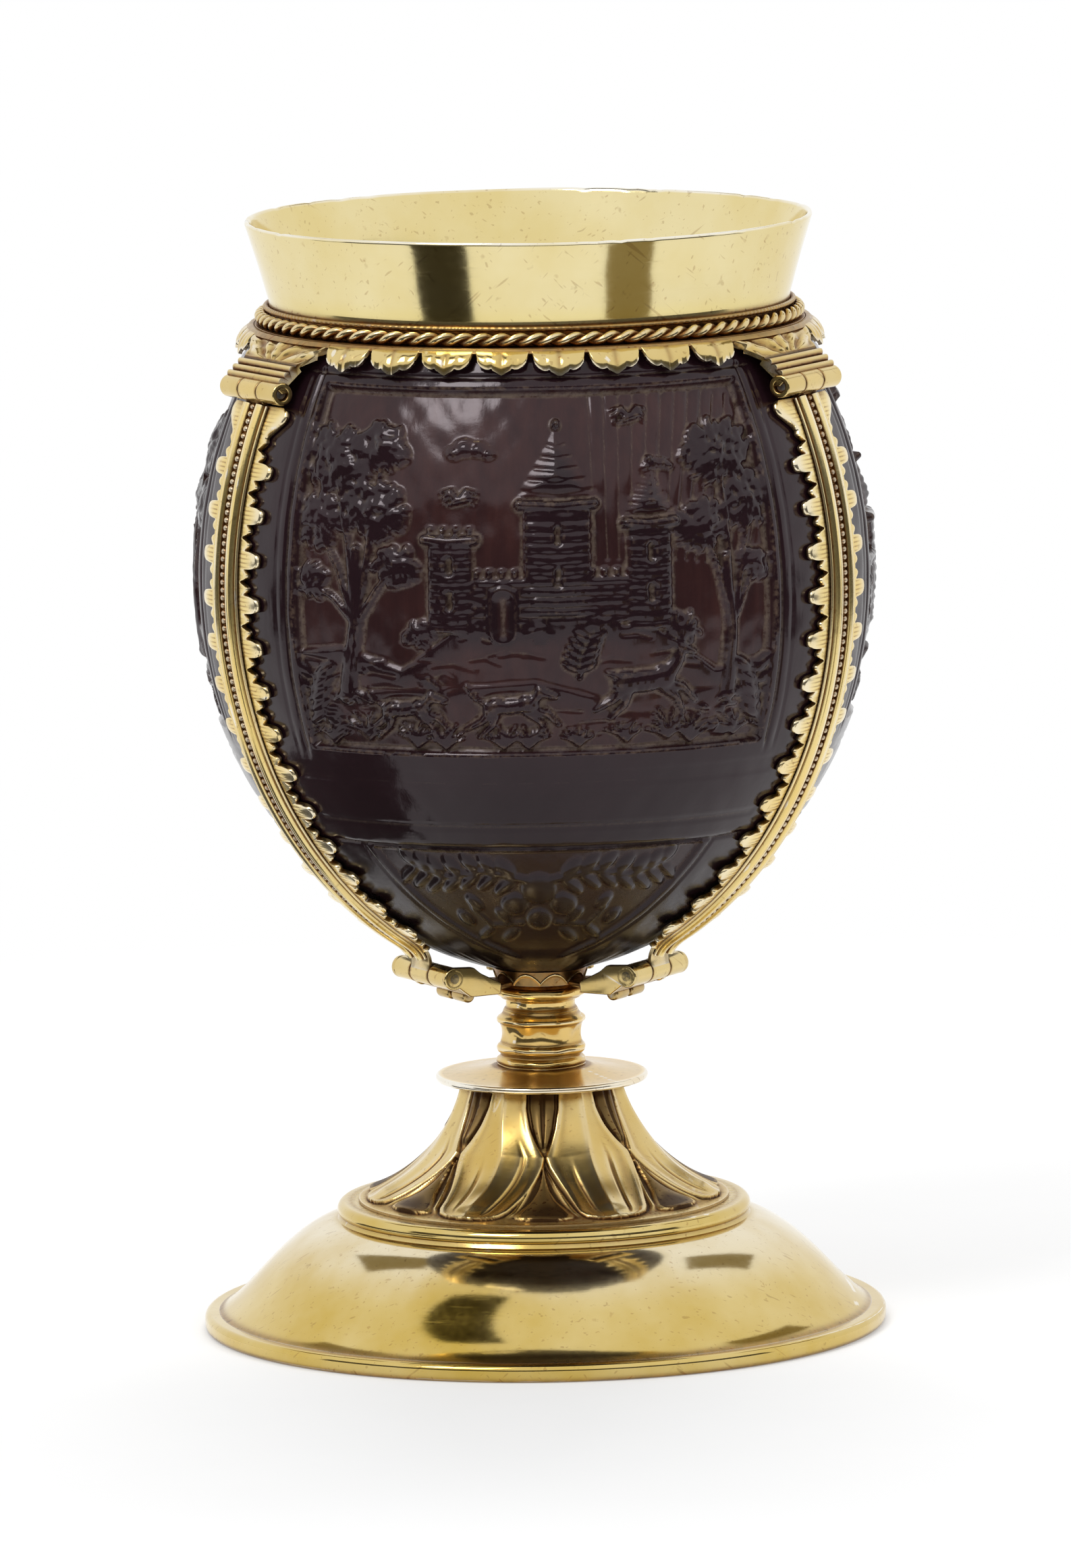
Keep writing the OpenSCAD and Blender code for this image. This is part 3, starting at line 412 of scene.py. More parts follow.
def coconut(name):
    """Carved and waxed coconut shell: near black, redder on the cut ground, dust in the hollows, painted darker
    towards the bottom as shade, and duller there."""
    n = Nodes(name)
    co = n.place()
    cloud = n.noise(co, 45.0, 5.0)
    pores = n.noise(co, 1300.0, 3.0)
    fibre = n.noise(n.place((500.0, 500.0, 60.0)), 1.0, 3.0)
    tall = n.add("ShaderNodeSeparateXYZ", "Z", Vector=co)
    hollow, high, ground, _ = n.channels("carve")

    def upward(lo, hi):
        return n.range(tall, 0.062, 0.095, lo, hi)

    col = n.mix(n.range(cloud, 0.35, 0.7), (0.0106, 0.0043, 0.0060), (0.0172, 0.0068, 0.0094))
    cut = n.mix(n.range(fibre, 0.3, 0.7), (0.0250, 0.0085, 0.0085), (0.0430, 0.0150, 0.0130))
    col = n.mix(n.times(ground, n.range(cloud, 0.3, 0.7, 0.45, 0.95)), col, cut)
    # Painted shade: by height alone, the lower shell is darkened towards black, and the dust and wear mixed in
    # below fade out there too.
    col = n.mix(upward(0.6, 0.0), col, (0.0035, 0.0016, 0.0016))
    dust = n.times(n.range(hollow, 0.25, 0.95), n.range(pores, 0.32, 0.66, 0.2, 1.0), True)
    col = n.mix(n.times(dust, upward(0.15, 0.70)), col, (0.150, 0.112, 0.078))
    worn = n.times(n.range(high, 0.35, 0.95), n.range(pores, 0.42, 0.66, 0.0, 0.62))
    col = n.mix(n.times(worn, upward(0.2, 1.0)), col, (0.120, 0.080, 0.056))

    rough = n.plus(n.range(pores, 0.3, 0.7, 0.11, 0.18), n.times(ground, 0.04))
    rough = n.plus(rough, n.times(n.times(dust, upward(0.35, 1.0)), 0.35))
    rough = n.math("SUBTRACT", rough, n.times(high, 0.06))
    rough = n.plus(rough, n.range(tall, 0.080, 0.062, 0.0, 0.16))
    h = n.plus(n.times(pores, 0.15), n.times(fibre, 0.45))
    normal = n.add("ShaderNodeBump", Height=h, Strength=0.40, Distance=0.00018)
    return n.end("ShaderNodeBsdfPrincipled", Base_Color=col, Roughness=rough, Normal=normal,
                 Specular_IOR_Level=0.37, Specular_Tint=(1.0, 0.90, 0.94, 1))


GILT = gilt("gilt_sheet", (0.74, 0.60, 0.25), (0.80, 0.68, 0.33), 0.6, 0.9)
GILT_FOOT = gilt("gilt_foot", (0.59, 0.41, 0.085), (0.72, 0.57, 0.25), 0.6, 0.9)
GILT_STEM = gilt("gilt_stem", (0.72, 0.47, 0.13), (0.82, 0.62, 0.26), 0.3, 1.05)
GILT_CAST = gilt("gilt_cast", (0.64, 0.46, 0.15), (0.74, 0.59, 0.28), 0.0, 1.25)
GILT_LEAF = gilt("gilt_leaf", (0.62, 0.43, 0.13), (0.74, 0.58, 0.27), -1.4, 1.35, 0.30)
GILT_STRAP = gilt("gilt_strap", (0.80, 0.60, 0.22), (0.87, 0.71, 0.34), -1.2, 1.0)
STEEL = steel("iron_pin")
SHELL = coconut("carved_shell")


# Foot and stem

RIM_TOP, RIM_IN, STEP_TOP = 2.6, 46.1, 18.8
SPOOL_TALL = 8.3
SPOOL_SHADES = ((0.9, 0.2, 0.25), (0.6, 0.42, 0.25), (0.7, 0.765, 0.2), (-0.6, 0.31, 0.3), (-0.6, 0.825, 0.16),
                (0.6, 0.95, 0.3))


def dents(seed, amp, top=7, rows=0.12):
    """The unevenness that hand work leaves in a turned sheet."""
    f = waves(seed, 14, top, rows)
    return lambda th, r, z: (amp * f(th, z), 0.0 * r)


def turned(name, profile, mat, nodes, n=256, bend=None, body="base", soft=0.15, step=0.8, tarnish_and_shade=None):
    """A piece turned from one profile. Tarnish and painted shade are a function of radius and height."""
    p = dense(softened(profile, soft), step)
    s = Solid()
    s.lathe(p, n, bend, None if tarnish_and_shade is None else tarnish_and_shade(*p.T))
    s.make(name, mat, body, nodes)


def foot_dome():
    dome = bezier((48.4, RIM_TOP), (43.5, 5.0), (38.4, 15.3), (29.5, 16.5), 70)
    roll = arc((29.5, 17.65), (1.1, 1.15), -44, 90, 18)
    outer = np.vstack([dome[dome[:, 0] > 30.33], roll, [[28.6, STEP_TOP], [27.9, 18.78], [24.4, STEP_TOP]]])
    under = dome - SHEET * path_normals(dome)
    under = under[under[:, 1] > 2.7]
    inner = np.vstack([[[under[0, 0], RIM_TOP]], under[::3], [[28.5, 16.8], [28.2, 17.9], [24.4, 17.9]]])
    prof = np.vstack([outer, inner[::-1]])
    r, z = prof.T
    ch = np.zeros((len(prof), 4))
    # Dark lines at the roll's underside, the rim and the step; the upper dome is painted paler, towards bare
    # silver, as a painted highlight.
    ch[:, 0] = (0.75 * bump(z, 16.6, 0.28) * (r > 29) + 0.75 * bump(z, 2.75, 0.4)
                + 0.5 * bump(r, 28.7, 0.35) * (z > 18) - 0.5 * smooth(8.0, 15.5, z) * smooth(16.5, 16.0, z))
    ch[:, 1] = smooth(28.9, 28.5, r) * (z > 18.5)
    hand = dents(3, 0.035, 9, 0.25)

    def bend(th, r, z):
        dr, dz = hand(th, r, z)
        return dr * (smooth(2.7, 5, z) * smooth(16.6, 14.5, z)), dz

    s = Solid()
    s.lathe(prof, 384, bend, ch)
    s.make("foot_dome_gilt", GILT_FOOT, "base", ["foot_dome"])


# The trumpet has its leaves raised out of the sheet. DOWN runs from the throat to the base.
ROWS, COLS, STEPS = 160, 960, 400
DOWN = np.linspace(0, 1, ROWS)[:, None]
ROUND = np.arange(COLS) / COLS * TAU
LEAVES = 7
TOUCH = 180 / LEAVES
HALF_AT = [0, 0.12, 0.24, 0.36, 0.43, 0.50, 0.60, 0.70, 0.80, 0.88, 0.93, 0.96, 0.975]
HALF = [14.2, 15.0, 18.0, 22.6, 25.5, 24.2, 20.8, 17.6, 15.0, 13.2, 11.0, 7.2, 0.3]
DROP_AT = [0.46, 0.56, 0.66, 0.76, 0.84, 0.90, 0.935, 0.955, 0.962]
DROP = [0.15, 0.9, 2.3, 5.0, 8.6, 10.6, 9.9, 7.0, 0.2]


def apart(centre):
    """Degrees from a leaf's middle."""
    return np.degrees(wrapped(ROUND[None, :] - math.radians(centre)))


def broad_leaf(centre, g):
    """Two hollow planes between a raised rim and a sharp midrib, each with a chased fold, with a round end."""
    k = DOWN
    lean = g.uniform(-1.3, 1.3) * smooth(0, 0.4, k) * smooth(1, 0.7, k)
    lean = lean + 0.7 * np.sin(9 * k + g.uniform(0, 6))
    half = np.maximum(np.interp(k, HALF_AT, HALF) - 0.3, 0.01)
    q = (apart(centre) + lean) / half
    mid = g.uniform(-0.3, 0.3) * (k - 0.3) + 0.09 * np.sin(6 * k + g.uniform(0, 6))
    a, c = np.abs(q), np.abs(q - mid)
    end = smooth(0.84, 0.97, k)
    rib = np.clip(1 - c / 0.78, 0, 1) ** 1.35 * (1.0 - 0.75 * end)
    rim = bump(a, 0.88, 0.12) * (0.35 + 0.40 * smooth(0.05, 0.5, k))
    rim = rim + 0.4 * end * smooth(0.95, 0.5, a) * bump(k, 0.955, 0.03)
    fold = -0.22 * bump(q - mid, 0.42 + 0.1 * k, 0.05) * smooth(0.30, 0.55, k) * smooth(0.97, 0.85, k)
    fold = fold - 0.16 * bump(q - mid, -0.36 - 0.1 * k, 0.045) * smooth(0.42, 0.65, k) * smooth(0.95, 0.8, k)
    return smooth(1.04, 0.965, a) * (0.40 + 0.84 * rib + 0.24 * rim + 1.25 * fold)


def between(centre):
    """A bud at the throat and a pointed arch with a drop in it at the base, in the gap between two broad leaves.
    The second field is where it is browned, as tarnish and painted shade."""
    k = DOWN
    gap = np.clip(TOUCH - 0.2 - np.interp(k, HALF_AT, HALF), 0.05, 30)
    q = apart(centre) / (0.86 * gap)
    bud = np.sqrt(np.clip(1 - q * q, 0, 1)) * (0.85 - 0.4 * bump(q, 0, 0.22)) * smooth(0.40, 0.33, k)
    arch = 0.42 * bump(np.abs(apart(centre)) / gap, 0.86, 0.10) * smooth(0.46, 0.52, k) * smooth(0.95, 0.88, k)
    q = apart(centre) / np.interp(k, DROP_AT, DROP)
    drop = 0.66 * np.sqrt(np.clip(1 - q * q, 0, 1)) * (k > DROP_AT[0]) * (k < DROP_AT[-1])
    browned_and_shaded = bud + drop - 0.9 * (drop > 0) * smooth(0.72, 0.86, np.abs(q))
    return np.maximum(bud, np.maximum(arch, drop)), browned_and_shaded


def leaf_trumpet():
    trumpet = bezier((27.0, 19.25), (19.4, 21.47), (12.7, 28.6), (11.0, DISC_LOW), STEPS)[::-1]
    pick = (DOWN[:, 0] * STEPS).round().astype(int)
    path, out = trumpet[pick], -path_normals(trumpet)[pick]
    uneven = waves(11, 10, 16, 1.0)
    relief, dim = np.zeros((ROWS, COLS)), np.zeros((ROWS, COLS))
    g = np.random.default_rng(12)
    for i in range(LEAVES):
        relief = np.maximum(relief, broad_leaf(-90 + TOUCH + 2 * TOUCH * i, g))
        small, browned_and_shaded = between(-90 + 2 * TOUCH * i)
        relief, dim = np.maximum(relief, small), np.maximum(dim, browned_and_shaded)
    relief *= 0.92 * smooth(1.0, 0.98, DOWN) * (1 + 0.07 * uneven(ROUND[None, :], DOWN * 3))
    top = around(path[:, :1] + out[:, :1] * relief, ROUND, path[:, 1:] + out[:, 1:] * relief)
    back = (trumpet + SHEET * path_normals(trumpet))[20:360:20][::-1]
    low = np.vstack([[[27.4, 19.2], [27.4, STEP_TOP], [24.6, STEP_TOP]], back,
                     [[10.1, 35.7], [BOLT_BORE, 35.7], [BOLT_BORE, DISC_LOW]]])
    ch = np.zeros((ROWS + len(low), COLS, 4))
    # Tarnish and painted shade: browned in the chased hollows and worn on the crests; painted darker at the throat
    # under the disc, on the bud and the drop, and on the low ground between the leaves.
    ch[:ROWS, :, 0] = (np.clip((blurred(relief, 5, 3) - relief) / 0.13, -0.25, 1.5)
                       + 0.3 * smooth(0.12, 0.0, DOWN) + 1.7 * smooth(0.05, 0.4, dim)
                       + 0.55 * smooth(0.50, 0.20, relief) * smooth(0.1, 0.6, DOWN) * smooth(1.0, 0.97, DOWN))
    ch[:ROWS, :, 1] = smooth(0.06, 0.0, relief) * smooth(0.8, 0.95, DOWN)
    s = Solid()
    s.grid(np.vstack([top, around(low[:, :1], ROUND, low[:, 1:])]), True, True, ch)
    s.make("leaf_trumpet_gilt", GILT_LEAF, "base", ["leaf_trumpet", "trumpet_leaves", "throat_plate"])


def spool(q):
    """A height on the spool, from its share of the way up."""
    return DISC_TOP + SPOOL_TALL * q


turned("foot_rim_gilt",
       np.vstack([[[RIM_IN, 0]], arc((49.6, 0.9), 0.9, -90, 0, 8), arc((49.6, 1.7), 0.9, 0, 90, 8),
                  [[RIM_IN, RIM_TOP]]]),
       GILT_FOOT, ["foot_rim"], 320, step=1.2)
foot_dome()
leaf_trumpet()
turned("collar_disc_gilt",
       np.vstack([[[BOLT_BORE, DISC_LOW]], arc((15.3, 37.1), (0.4, 0.5), -90, 90, 10),
                  bezier((14.5, 37.62), (11.7, 37.7), (9.2, 38.2), (6.8, DISC_TOP), 20), [[BOLT_BORE, DISC_TOP]]]),
       GILT_STEM, ["collar_disc"], 256, dents(5, 0.02, 6, 0.5), soft=0.1, step=0.5,
       tarnish_and_shade=lambda r, z: (0.9 * bump(r, 7.0, 0.5) * (z > 38) + 0.26 * (r < 14.8)
                             - 1.0 * smooth(15.0, 15.4, r)))
turned("stem_spool_gilt",
       np.vstack([[(BOLT_BORE, DISC_TOP), (6.45, DISC_TOP)], arc((6.0, spool(0.08)), 0.6, -60, 60, 8),
                  [(6.0, spool(0.175))], arc((5.9, spool(0.31)), 0.7, -75, 80, 12),
                  bezier((6.0, spool(0.43)), (5.68, spool(0.52)), (5.68, spool(0.6)), (6.05, spool(0.73)), 12),
                  [(r, spool(q)) for r, q in ((6.15, 0.755), (6.5, 0.785), (6.6, 0.80), (6.6, 0.845),
                                              (6.42, 0.87), (5.98, 0.905), (5.66, 0.95))],
                  [(5.52, SPOOL_TOP), (BOLT_BORE, SPOOL_TOP)]]),
       GILT_STEM, ["stem_spool"], 200, dents(8, 0.085, 9, 2.2), soft=0.12, step=0.25,
       tarnish_and_shade=lambda r, z: 0.14 + sum(k * bump(z, spool(q), width) for k, q, width in SPOOL_SHADES))
turned("calyx_socket_gilt",
       np.vstack([[(r, SPOOL_TOP + h) for r, h in ((BOLT_BORE, 0), (5.5, 0), (5.15, 0.45), (5.1, 0.9),
                                                   (5.15, 1.45), (5.75, 1.75), (5.95, 2.05))],
                  arc((6.1, SPOOL_TOP + 2.86), (0.6, 0.71), -80, 90, 10),
                  [(5.7, SOCKET_TOP), (AXIS_R, SOCKET_TOP), (AXIS_R, SPOOL_TOP + 3.2),
                   (BOLT_BORE, SPOOL_TOP + 3.2)]]),
       GILT_STEM, ["calyx_socket"], 200, dents(9, 0.05, 7, 2.0), soft=0.1, step=0.25,
       tarnish_and_shade=lambda r, z: 0.8 * bump(z, SPOOL_TOP + 0.3, 0.3) + 0.6 * bump(z, SPOOL_TOP + 1.95, 0.2))


# The shell's outline and its carving

POLE = -math.pi / 2 + 0.004


def shell_pt(a, inset=0.0):
    """The outline, by the angle from the belly. The hollow is the same with an inset."""
    c, sn = np.cos(a), np.sin(a)
    r = (SHELL_R - inset) * np.where(a < 0, np.abs(c) ** POWER, c)
    return np.stack([r, BELLY_Z + np.where(a < 0, SHELL_LOW - inset, SHELL_UP - inset) * sn], -1)


def low_angle(r):
    """The angle at which the lower half has this radius."""
    return -math.acos((r / SHELL_R) ** (1 / POWER))


def even_steps(a0, a1, n, inset=0.0):
    """Points at even steps along the outline, with their normals and their places along it."""
    a = np.linspace(a0, a1, 4000)
    d = along(shell_pt(a, inset))
    s = np.linspace(0, d[-1], n)
    a = np.interp(s, d, a)
    q = shell_pt(a + 1e-4, inset) - shell_pt(a - 1e-4, inset)
    nrm = np.stack([q[:, 1], -q[:, 0]], -1)
    return shell_pt(a, inset), nrm / np.linalg.norm(nrm, axis=1, keepdims=True), s


class Relief:
    """A height picture over arc length x and height z, with stamps that each leave the higher of two surfaces."""
    RES = 0.16

    def __init__(self, x0, x1, z0, z1, seed):
        self.x = np.arange(x0, x1, self.RES)
        self.z = np.arange(z0, z1, self.RES)
        self.h = np.zeros((len(self.z), len(self.x)))
        self.g = np.random.default_rng(seed)

    def window(self, x0, x1, z0, z1):
        i = slice(*np.searchsorted(self.x, (x0, x1)))
        j = slice(*np.searchsorted(self.z, (z0, z1)))
        return (j, i), self.x[i][None, :], self.z[j][:, None]

    def raise_to(self, w, h):
        self.h[w] = np.maximum(self.h[w], h)

    def rounded(self, w, d, h, foot):
        """A round form, where d falls from one at its middle to zero at its edge."""
        self.raise_to(w, np.where(d > 0, foot + h * np.sqrt(np.clip(d, 0, 1)), 0))

    def blob(self, x, z, a, b, rot, h, foot=0.0):
        m = max(a, b)
        w, xx, zz = self.window(x - m, x + m, z - m, z + m)
        c, s = math.cos(rot), math.sin(rot)
        u, v = ((xx - x) * c + (zz - z) * s) / a, ((zz - z) * c - (xx - x) * s) / b
        self.rounded(w, 1 - u * u - v * v, h, foot)

    def near(self, p, q, m):
        """The window round a stroke, the place along it and the distance from it."""
        (x0, z0), (x1, z1) = np.minimum(p, q) - m, np.maximum(p, q) + m
        w, xx, zz = self.window(x0, x1, z0, z1)
        d = q - p
        t = np.clip(((xx - p[0]) * d[0] + (zz - p[1]) * d[1]) / (d @ d + 1e-9), 0, 1)
        return w, t, np.hypot(xx - p[0] - d[0] * t, zz - p[1] - d[1] * t)

    def limb(self, pts, r0, r1, h, foot=0.0):
        pts = np.array(pts, float)
        n = len(pts) - 1
        for i in range(n):
            ra, rb = r0 + (r1 - r0) * i / n, r0 + (r1 - r0) * (i + 1) / n
            w, t, e = self.near(pts[i], pts[i + 1], max(ra, rb))
            self.rounded(w, 1 - (e / (ra + (rb - ra) * t)) ** 2, h, foot)

    def begin_cuts(self):
        """Cuts that cross don't add up: each goes down from the surface as it is now."""
        self.top = self.h.copy()

    def cut(self, pts, width, depth):
        pts = np.array(pts, float)
        for p, q in zip(pts[:-1], pts[1:]):
            w, _, e = self.near(p, q, width)
            done = np.maximum(0, self.top[w] - self.h[w])
            self.h[w] -= np.maximum(0, depth * np.clip(1 - e / width, 0, 1) - done)

    def plate(self, pts, h, bevel, tilt=(0, 0)):
        """A flat raised polygon, convex, with sloped sides."""
        pts = np.array(pts, float)
        w, xx, zz = self.window(pts[:, 0].min(), pts[:, 0].max(), pts[:, 1].min(), pts[:, 1].max())
        area = np.sum(pts[:, 0] * np.roll(pts[:, 1], -1) - np.roll(pts[:, 0], -1) * pts[:, 1])
        d = np.full((zz.shape[0], xx.shape[1]), 1e9)
        for p, q in zip(pts, np.roll(pts, -1, 0)):
            e = (q - p) / np.linalg.norm(q - p) * np.sign(area)
            d = np.minimum(d, (zz - p[1]) * e[0] - (xx - p[0]) * e[1])
        c = pts.mean(0)
        top = h + tilt[0] * (xx - c[0]) + tilt[1] * (zz - c[1])
        self.raise_to(w, np.where(d > 0, top * np.clip(d / bevel, 0, 1), 0))

    def block(self, x0, x1, z0, z1, h, bevel):
        self.plate([(x0, z0), (x1, z0), (x1, z1), (x0, z1)], h, bevel)

    def ground(self, line, h, fade=7.0):
        """A bank of earth under a line: full height at its crest, sloping back into the ground below it."""
        line = np.array(line, float)
        top = np.interp(self.x, line[:, 0], line[:, 1], left=-1e3, right=-1e3)[None, :]
        d = top - self.z[:, None]
        self.h = np.maximum(self.h, h * np.clip(d / 0.6, 0, 1) * (1 - 0.85 * smooth(0.6, fade, d)))

    def foliage(self, x, z, a, b, size=0.8, h=1.0):
        g = self.g
        self.blob(x, z, a * 0.95, b * 0.95, 0, 0.55 * h, 0.1)
        for _ in range(int(4.6 * a * b) + 7):
            t, d = g.uniform(0, TAU), math.sqrt(g.uniform(0, 1.12))
            k = g.uniform(0.8, 1.35) * size * 1.15
            self.blob(x + a * d * math.cos(t), z + b * d * math.sin(t), k, k * g.uniform(0.55, 0.9),
                      t + g.uniform(-0.6, 0.6), 0.42 * h,
                      0.20 * h + 0.55 * h * max(0, 1 - d) * g.uniform(0.6, 1.1))

    def tree(self, x, z0, z1, lean, crowns, thick=1.2):
        mx, mz = mid = (x + lean * 0.35 + thick * 0.5, z0 + (z1 - z0) * 0.5)
        top = (x + lean, z1)
        for cx, cz, _, _ in crowns:
            self.limb([mid, ((mx + cx) / 2 + 0.3, (mz + cz) / 2 + 0.8), (cx, cz)], thick * 0.5, 0.3, 0.6, 0.15)
        for k in (-1.4, -0.6, 1, 2.2):
            self.limb([(x, z0 + 1.0), (x + k * thick * 1.1, z0 - 0.9)], thick * 0.6, 0.25, 0.6, 0.2)
        self.limb([(x - 0.3, z0), mid, top], thick, thick * 0.55, 0.85, 0.2)
        self.begin_cuts()
        for off in (-0.5, -0.1, 0.3, 0.65):
            self.cut([(x - 0.3 + off * thick, z0 + 0.3), (mx + off * thick * 0.8, mz), (top[0] + off * 0.5, z1)],
                     0.36, 0.30)
        for crown in crowns:
            self.foliage(*crown)

    def tuft(self, x, z, n, size):
        for i in range(n):
            t = math.radians(90 + 66 * (2 * (i + 0.5) / n - 1) + self.g.uniform(-7, 7))
            m = size * self.g.uniform(0.7, 1.1)
            self.limb([(x, z), (x + m * 0.5 * math.cos(t), z + m * 0.6 * math.sin(t)),
                       (x + m * 1.15 * math.cos(t), z + m * 0.9 * math.sin(t))], 0.50, 0.16, 0.62, 0.2)

    def rocks(self, x, z, width, n, h=0.9):
        g = self.g
        for _ in range(n):
            cx, cz = x + g.uniform(-0.5, 0.5) * width, z + g.uniform(-0.5, 0.5) * width * 0.4
            m = g.uniform(1.1, 2.4)
            t = np.sort(g.uniform(0, TAU, 7))
            pts = np.stack([cx + m * 1.3 * np.cos(t), cz + m * 0.8 * np.sin(t)], -1)
            self.plate(pts, h * g.uniform(0.5, 1.0), 0.5, (g.uniform(-0.18, 0.18), g.uniform(0.05, 0.25)))

    def tower(self, x, z0, z1, w, roof=0.0, h=0.9):
        """A round tower with courses of stone, under a pointed roof or battlements, with two windows."""
        win, xx, zz = self.window(x - w, x + w, z0, z1)
        self.raise_to(win, 0.35 + (h - 0.35) * np.sqrt(np.clip(1 - ((xx - x) / w) ** 2, 0, 1)) + 0 * zz)
        self.begin_cuts()
        for i, q in enumerate(np.arange(z0 + 1.3, z1 - 0.8, 1.55)):
            self.cut([(x - w, q), (x, q - 0.25), (x + w, q)], 0.34, 0.20)
            for o in np.arange(-0.8, 0.9, 0.55) + (0.27 if i % 2 else 0):
                self.cut([(x + o * w, q), (x + o * w, q + 1.5)], 0.30, 0.15)
        self.limb([(x - w * 1.1, z1), (x, z1 - 0.3), (x + w * 1.1, z1)], 0.75, 0.75, 0.5, h * 0.7)
        if roof:
            self.plate([(x - w * 1.3, z1 + 0.5), (x + w * 1.3, z1 + 0.5), (x + 0.2, z1 + roof),
                        (x - 0.2, z1 + roof)], h * 1.25, w * 0.95)
            self.begin_cuts()
            for q in np.arange(0.18, 0.9, 0.15):
                half, up = w * 1.25 * (1 - q), z1 + roof * q
                self.cut([(x - half, up), (x, up - 0.5), (x + half, up)], 0.36, 0.22)
            self.blob(x, z1 + roof + 0.4, 0.55, 0.7, 0, 0.6, 0.4)
        else:
            for o in np.linspace(-0.88, 0.88, 4):
                self.block(x + o * w - 0.5, x + o * w + 0.5, z1 + 0.2, z1 + 1.9, h * (1.05 - 0.3 * abs(o)), 0.3)
        self.begin_cuts()
        for q in (0.34, 0.72):
            c = z0 + (z1 - z0) * q
            self.cut([(x, c - 0.9), (x, c + 0.9)], 0.75, 0.8)

    def wall(self, x0, x1, z0, z1, h=0.55):
        self.block(x0, x1, z0, z1, h, 0.35)
        self.begin_cuts()
        for i, q in enumerate(np.arange(z0 + 1.2, z1, 1.5)):
            self.cut([(x0, q), (x1, q)], 0.32, 0.2)
            for o in np.arange(x0 + (1.2 if i % 2 else 0.3), x1, 2.4):
                self.cut([(o, q - 1.4), (o, q)], 0.3, 0.16)
        for o in np.arange(x0 + 0.7, x1 - 0.2, 1.9):
            self.block(o - 0.55, o + 0.55, z1 - 0.3, z1 + 1.3, h * 1.15, 0.3)

    def gate(self, x, z):
        self.limb([(x, z), (x, z + 4)], 2.4, 2.4, 0.4, 0.6)
        self.begin_cuts()
        self.cut([(x, z - 0.5), (x, z + 4)], 1.9, 0.9)

    def beast(self, x, z, k, side, antlers=True):
        """A running stag, or a hound without antlers, with the ground sunk round it."""
        def at(*pts):
            return [(x + side * k * a, z + k * b) for a, b in pts]

        def limb(pts, r0, r1, h, foot):
            self.limb(at(*pts), r0 * k, r1 * k, h, foot)

        (cx, cz), rump, chest = at((0, 0.1), (-2.7, -0.1), (2.5, 0.45))
        slim = 1.0 if antlers else 0.8
        w, xx, zz = self.window(cx - 7.5 * k, cx + 7.5 * k, cz - 5.2 * k, cz + 3 * k)
        e = ((xx - cx) / (7.5 * k)) ** 2 + ((zz - cz + 1.2 * k) / (4.0 * k)) ** 2
        self.h[w] *= 1 - 0.75 * smooth(1.0, 0.6, e)
        for leg in (((2.7, -0.3), (5.2, -1.0), (7.0, -2.9)), ((2.2, -0.6), (4.3, -2.2), (5.2, -4.4)),
                    ((-2.9, -0.5), (-4.5, -2.2), (-7.0, -3.5)), ((-2.4, -0.8), (-3.0, -2.8), (-5.0, -4.7))):
            limb(leg, 0.9, 0.34, 0.75, 0.15)
        self.blob(cx, cz, 3.9 * k, 1.55 * k * slim, 0.12 * side, 0.95, 0.15)
        self.blob(*rump, 1.9 * k, 1.8 * k * slim, 0.5 * side, 1.05, 0.18)
        self.blob(*chest, 1.8 * k, 1.85 * k * slim, -0.4 * side, 1.1, 0.18)
        if antlers:
            limb([(3.1, 0.9), (4.4, 2.6), (5.0, 4.2)], 1.25, 0.7, 0.95, 0.2)
            limb([(4.9, 4.4), (6.9, 3.7)], 0.85, 0.45, 0.95, 0.25)
            limb([(4.6, 4.8), (3.5, 5.5)], 0.5, 0.2, 0.6, 0.3)
            for b in (0, 1.3):
                limb([(5.1, 4.9), (4.0 + b, 6.8), (4.3 + b * 1.8, 9.0)], 0.42, 0.26, 0.6, 0.3)
                limb([(4.2 + b, 6.4), (5.6 + b, 7.6)], 0.34, 0.2, 0.55, 0.3)
            limb([(-4.0, 0.9), (-5.1, 1.4)], 0.55, 0.3, 0.6, 0.2)
        else:
            limb([(3.0, 0.9), (4.3, 2.0)], 0.95, 0.7, 0.9, 0.2)
            limb([(4.4, 2.2), (6.6, 1.6)], 0.85, 0.42, 0.9, 0.25)
            limb([(4.2, 2.7), (3.3, 1.4)], 0.55, 0.3, 0.5, 0.6)
            limb([(-4.0, 0.4), (-5.8, 1.6), (-7.0, 3.4)], 0.45, 0.2, 0.6, 0.2)
        self.begin_cuts()
        for o in (-1.2, -0.3, 0.6):
            self.cut(at((o, -0.9), (o + 0.3, 0.8)), 0.36, 0.16)

    def bird(self, x, z, k):
        self.limb([(x - 1.6 * k, z - 0.4 * k), (x, z), (x + 1.5 * k, z + 0.5 * k)], 0.4 * k, 0.65 * k, 0.7, 0.15)
        for s in SIDES:
            for j in range(3):
                self.limb([(x, z + 0.2 * k), (x + s * (1.3 + 0.3 * j) * k, z + (1.9 - 0.45 * j) * k),
                           (x + s * (3.2 - 0.3 * j) * k, z + (1.5 - 1.0 * j) * k)], 0.5 * k, 0.18 * k, 0.6, 0.15)

    def cloud(self, x, z, k):
        t = np.linspace(0.3, math.pi - 0.3, 7)
        for a, b, r in ((-2.6, 0, 1.3), (-1.0, 0.7, 1.7), (1.0, 0.5, 1.5), (2.6, -0.1, 1.1)):
            self.blob(x + a * k, z + b * k, r * k, r * k * 0.8, 0, 0.5, 0.1)
            self.begin_cuts()
            self.cut(np.stack([x + a * k + r * k * 0.6 * np.cos(t), z + b * k + r * k * 0.45 * np.sin(t)], -1),
                     0.34, 0.22)

    def rays(self, x, z, a0, a1, n, r0, r1):
        """Lines across the bare sky that spread from a point."""
        self.begin_cuts()
        for t in np.radians(np.linspace(a0, a1, n)):
            self.cut([(x + r * math.cos(t), z + r * math.sin(t)) for r in (r0, r1)], 0.42, 0.26)
        self.h = np.where(self.top > 0.03, self.top, self.h)

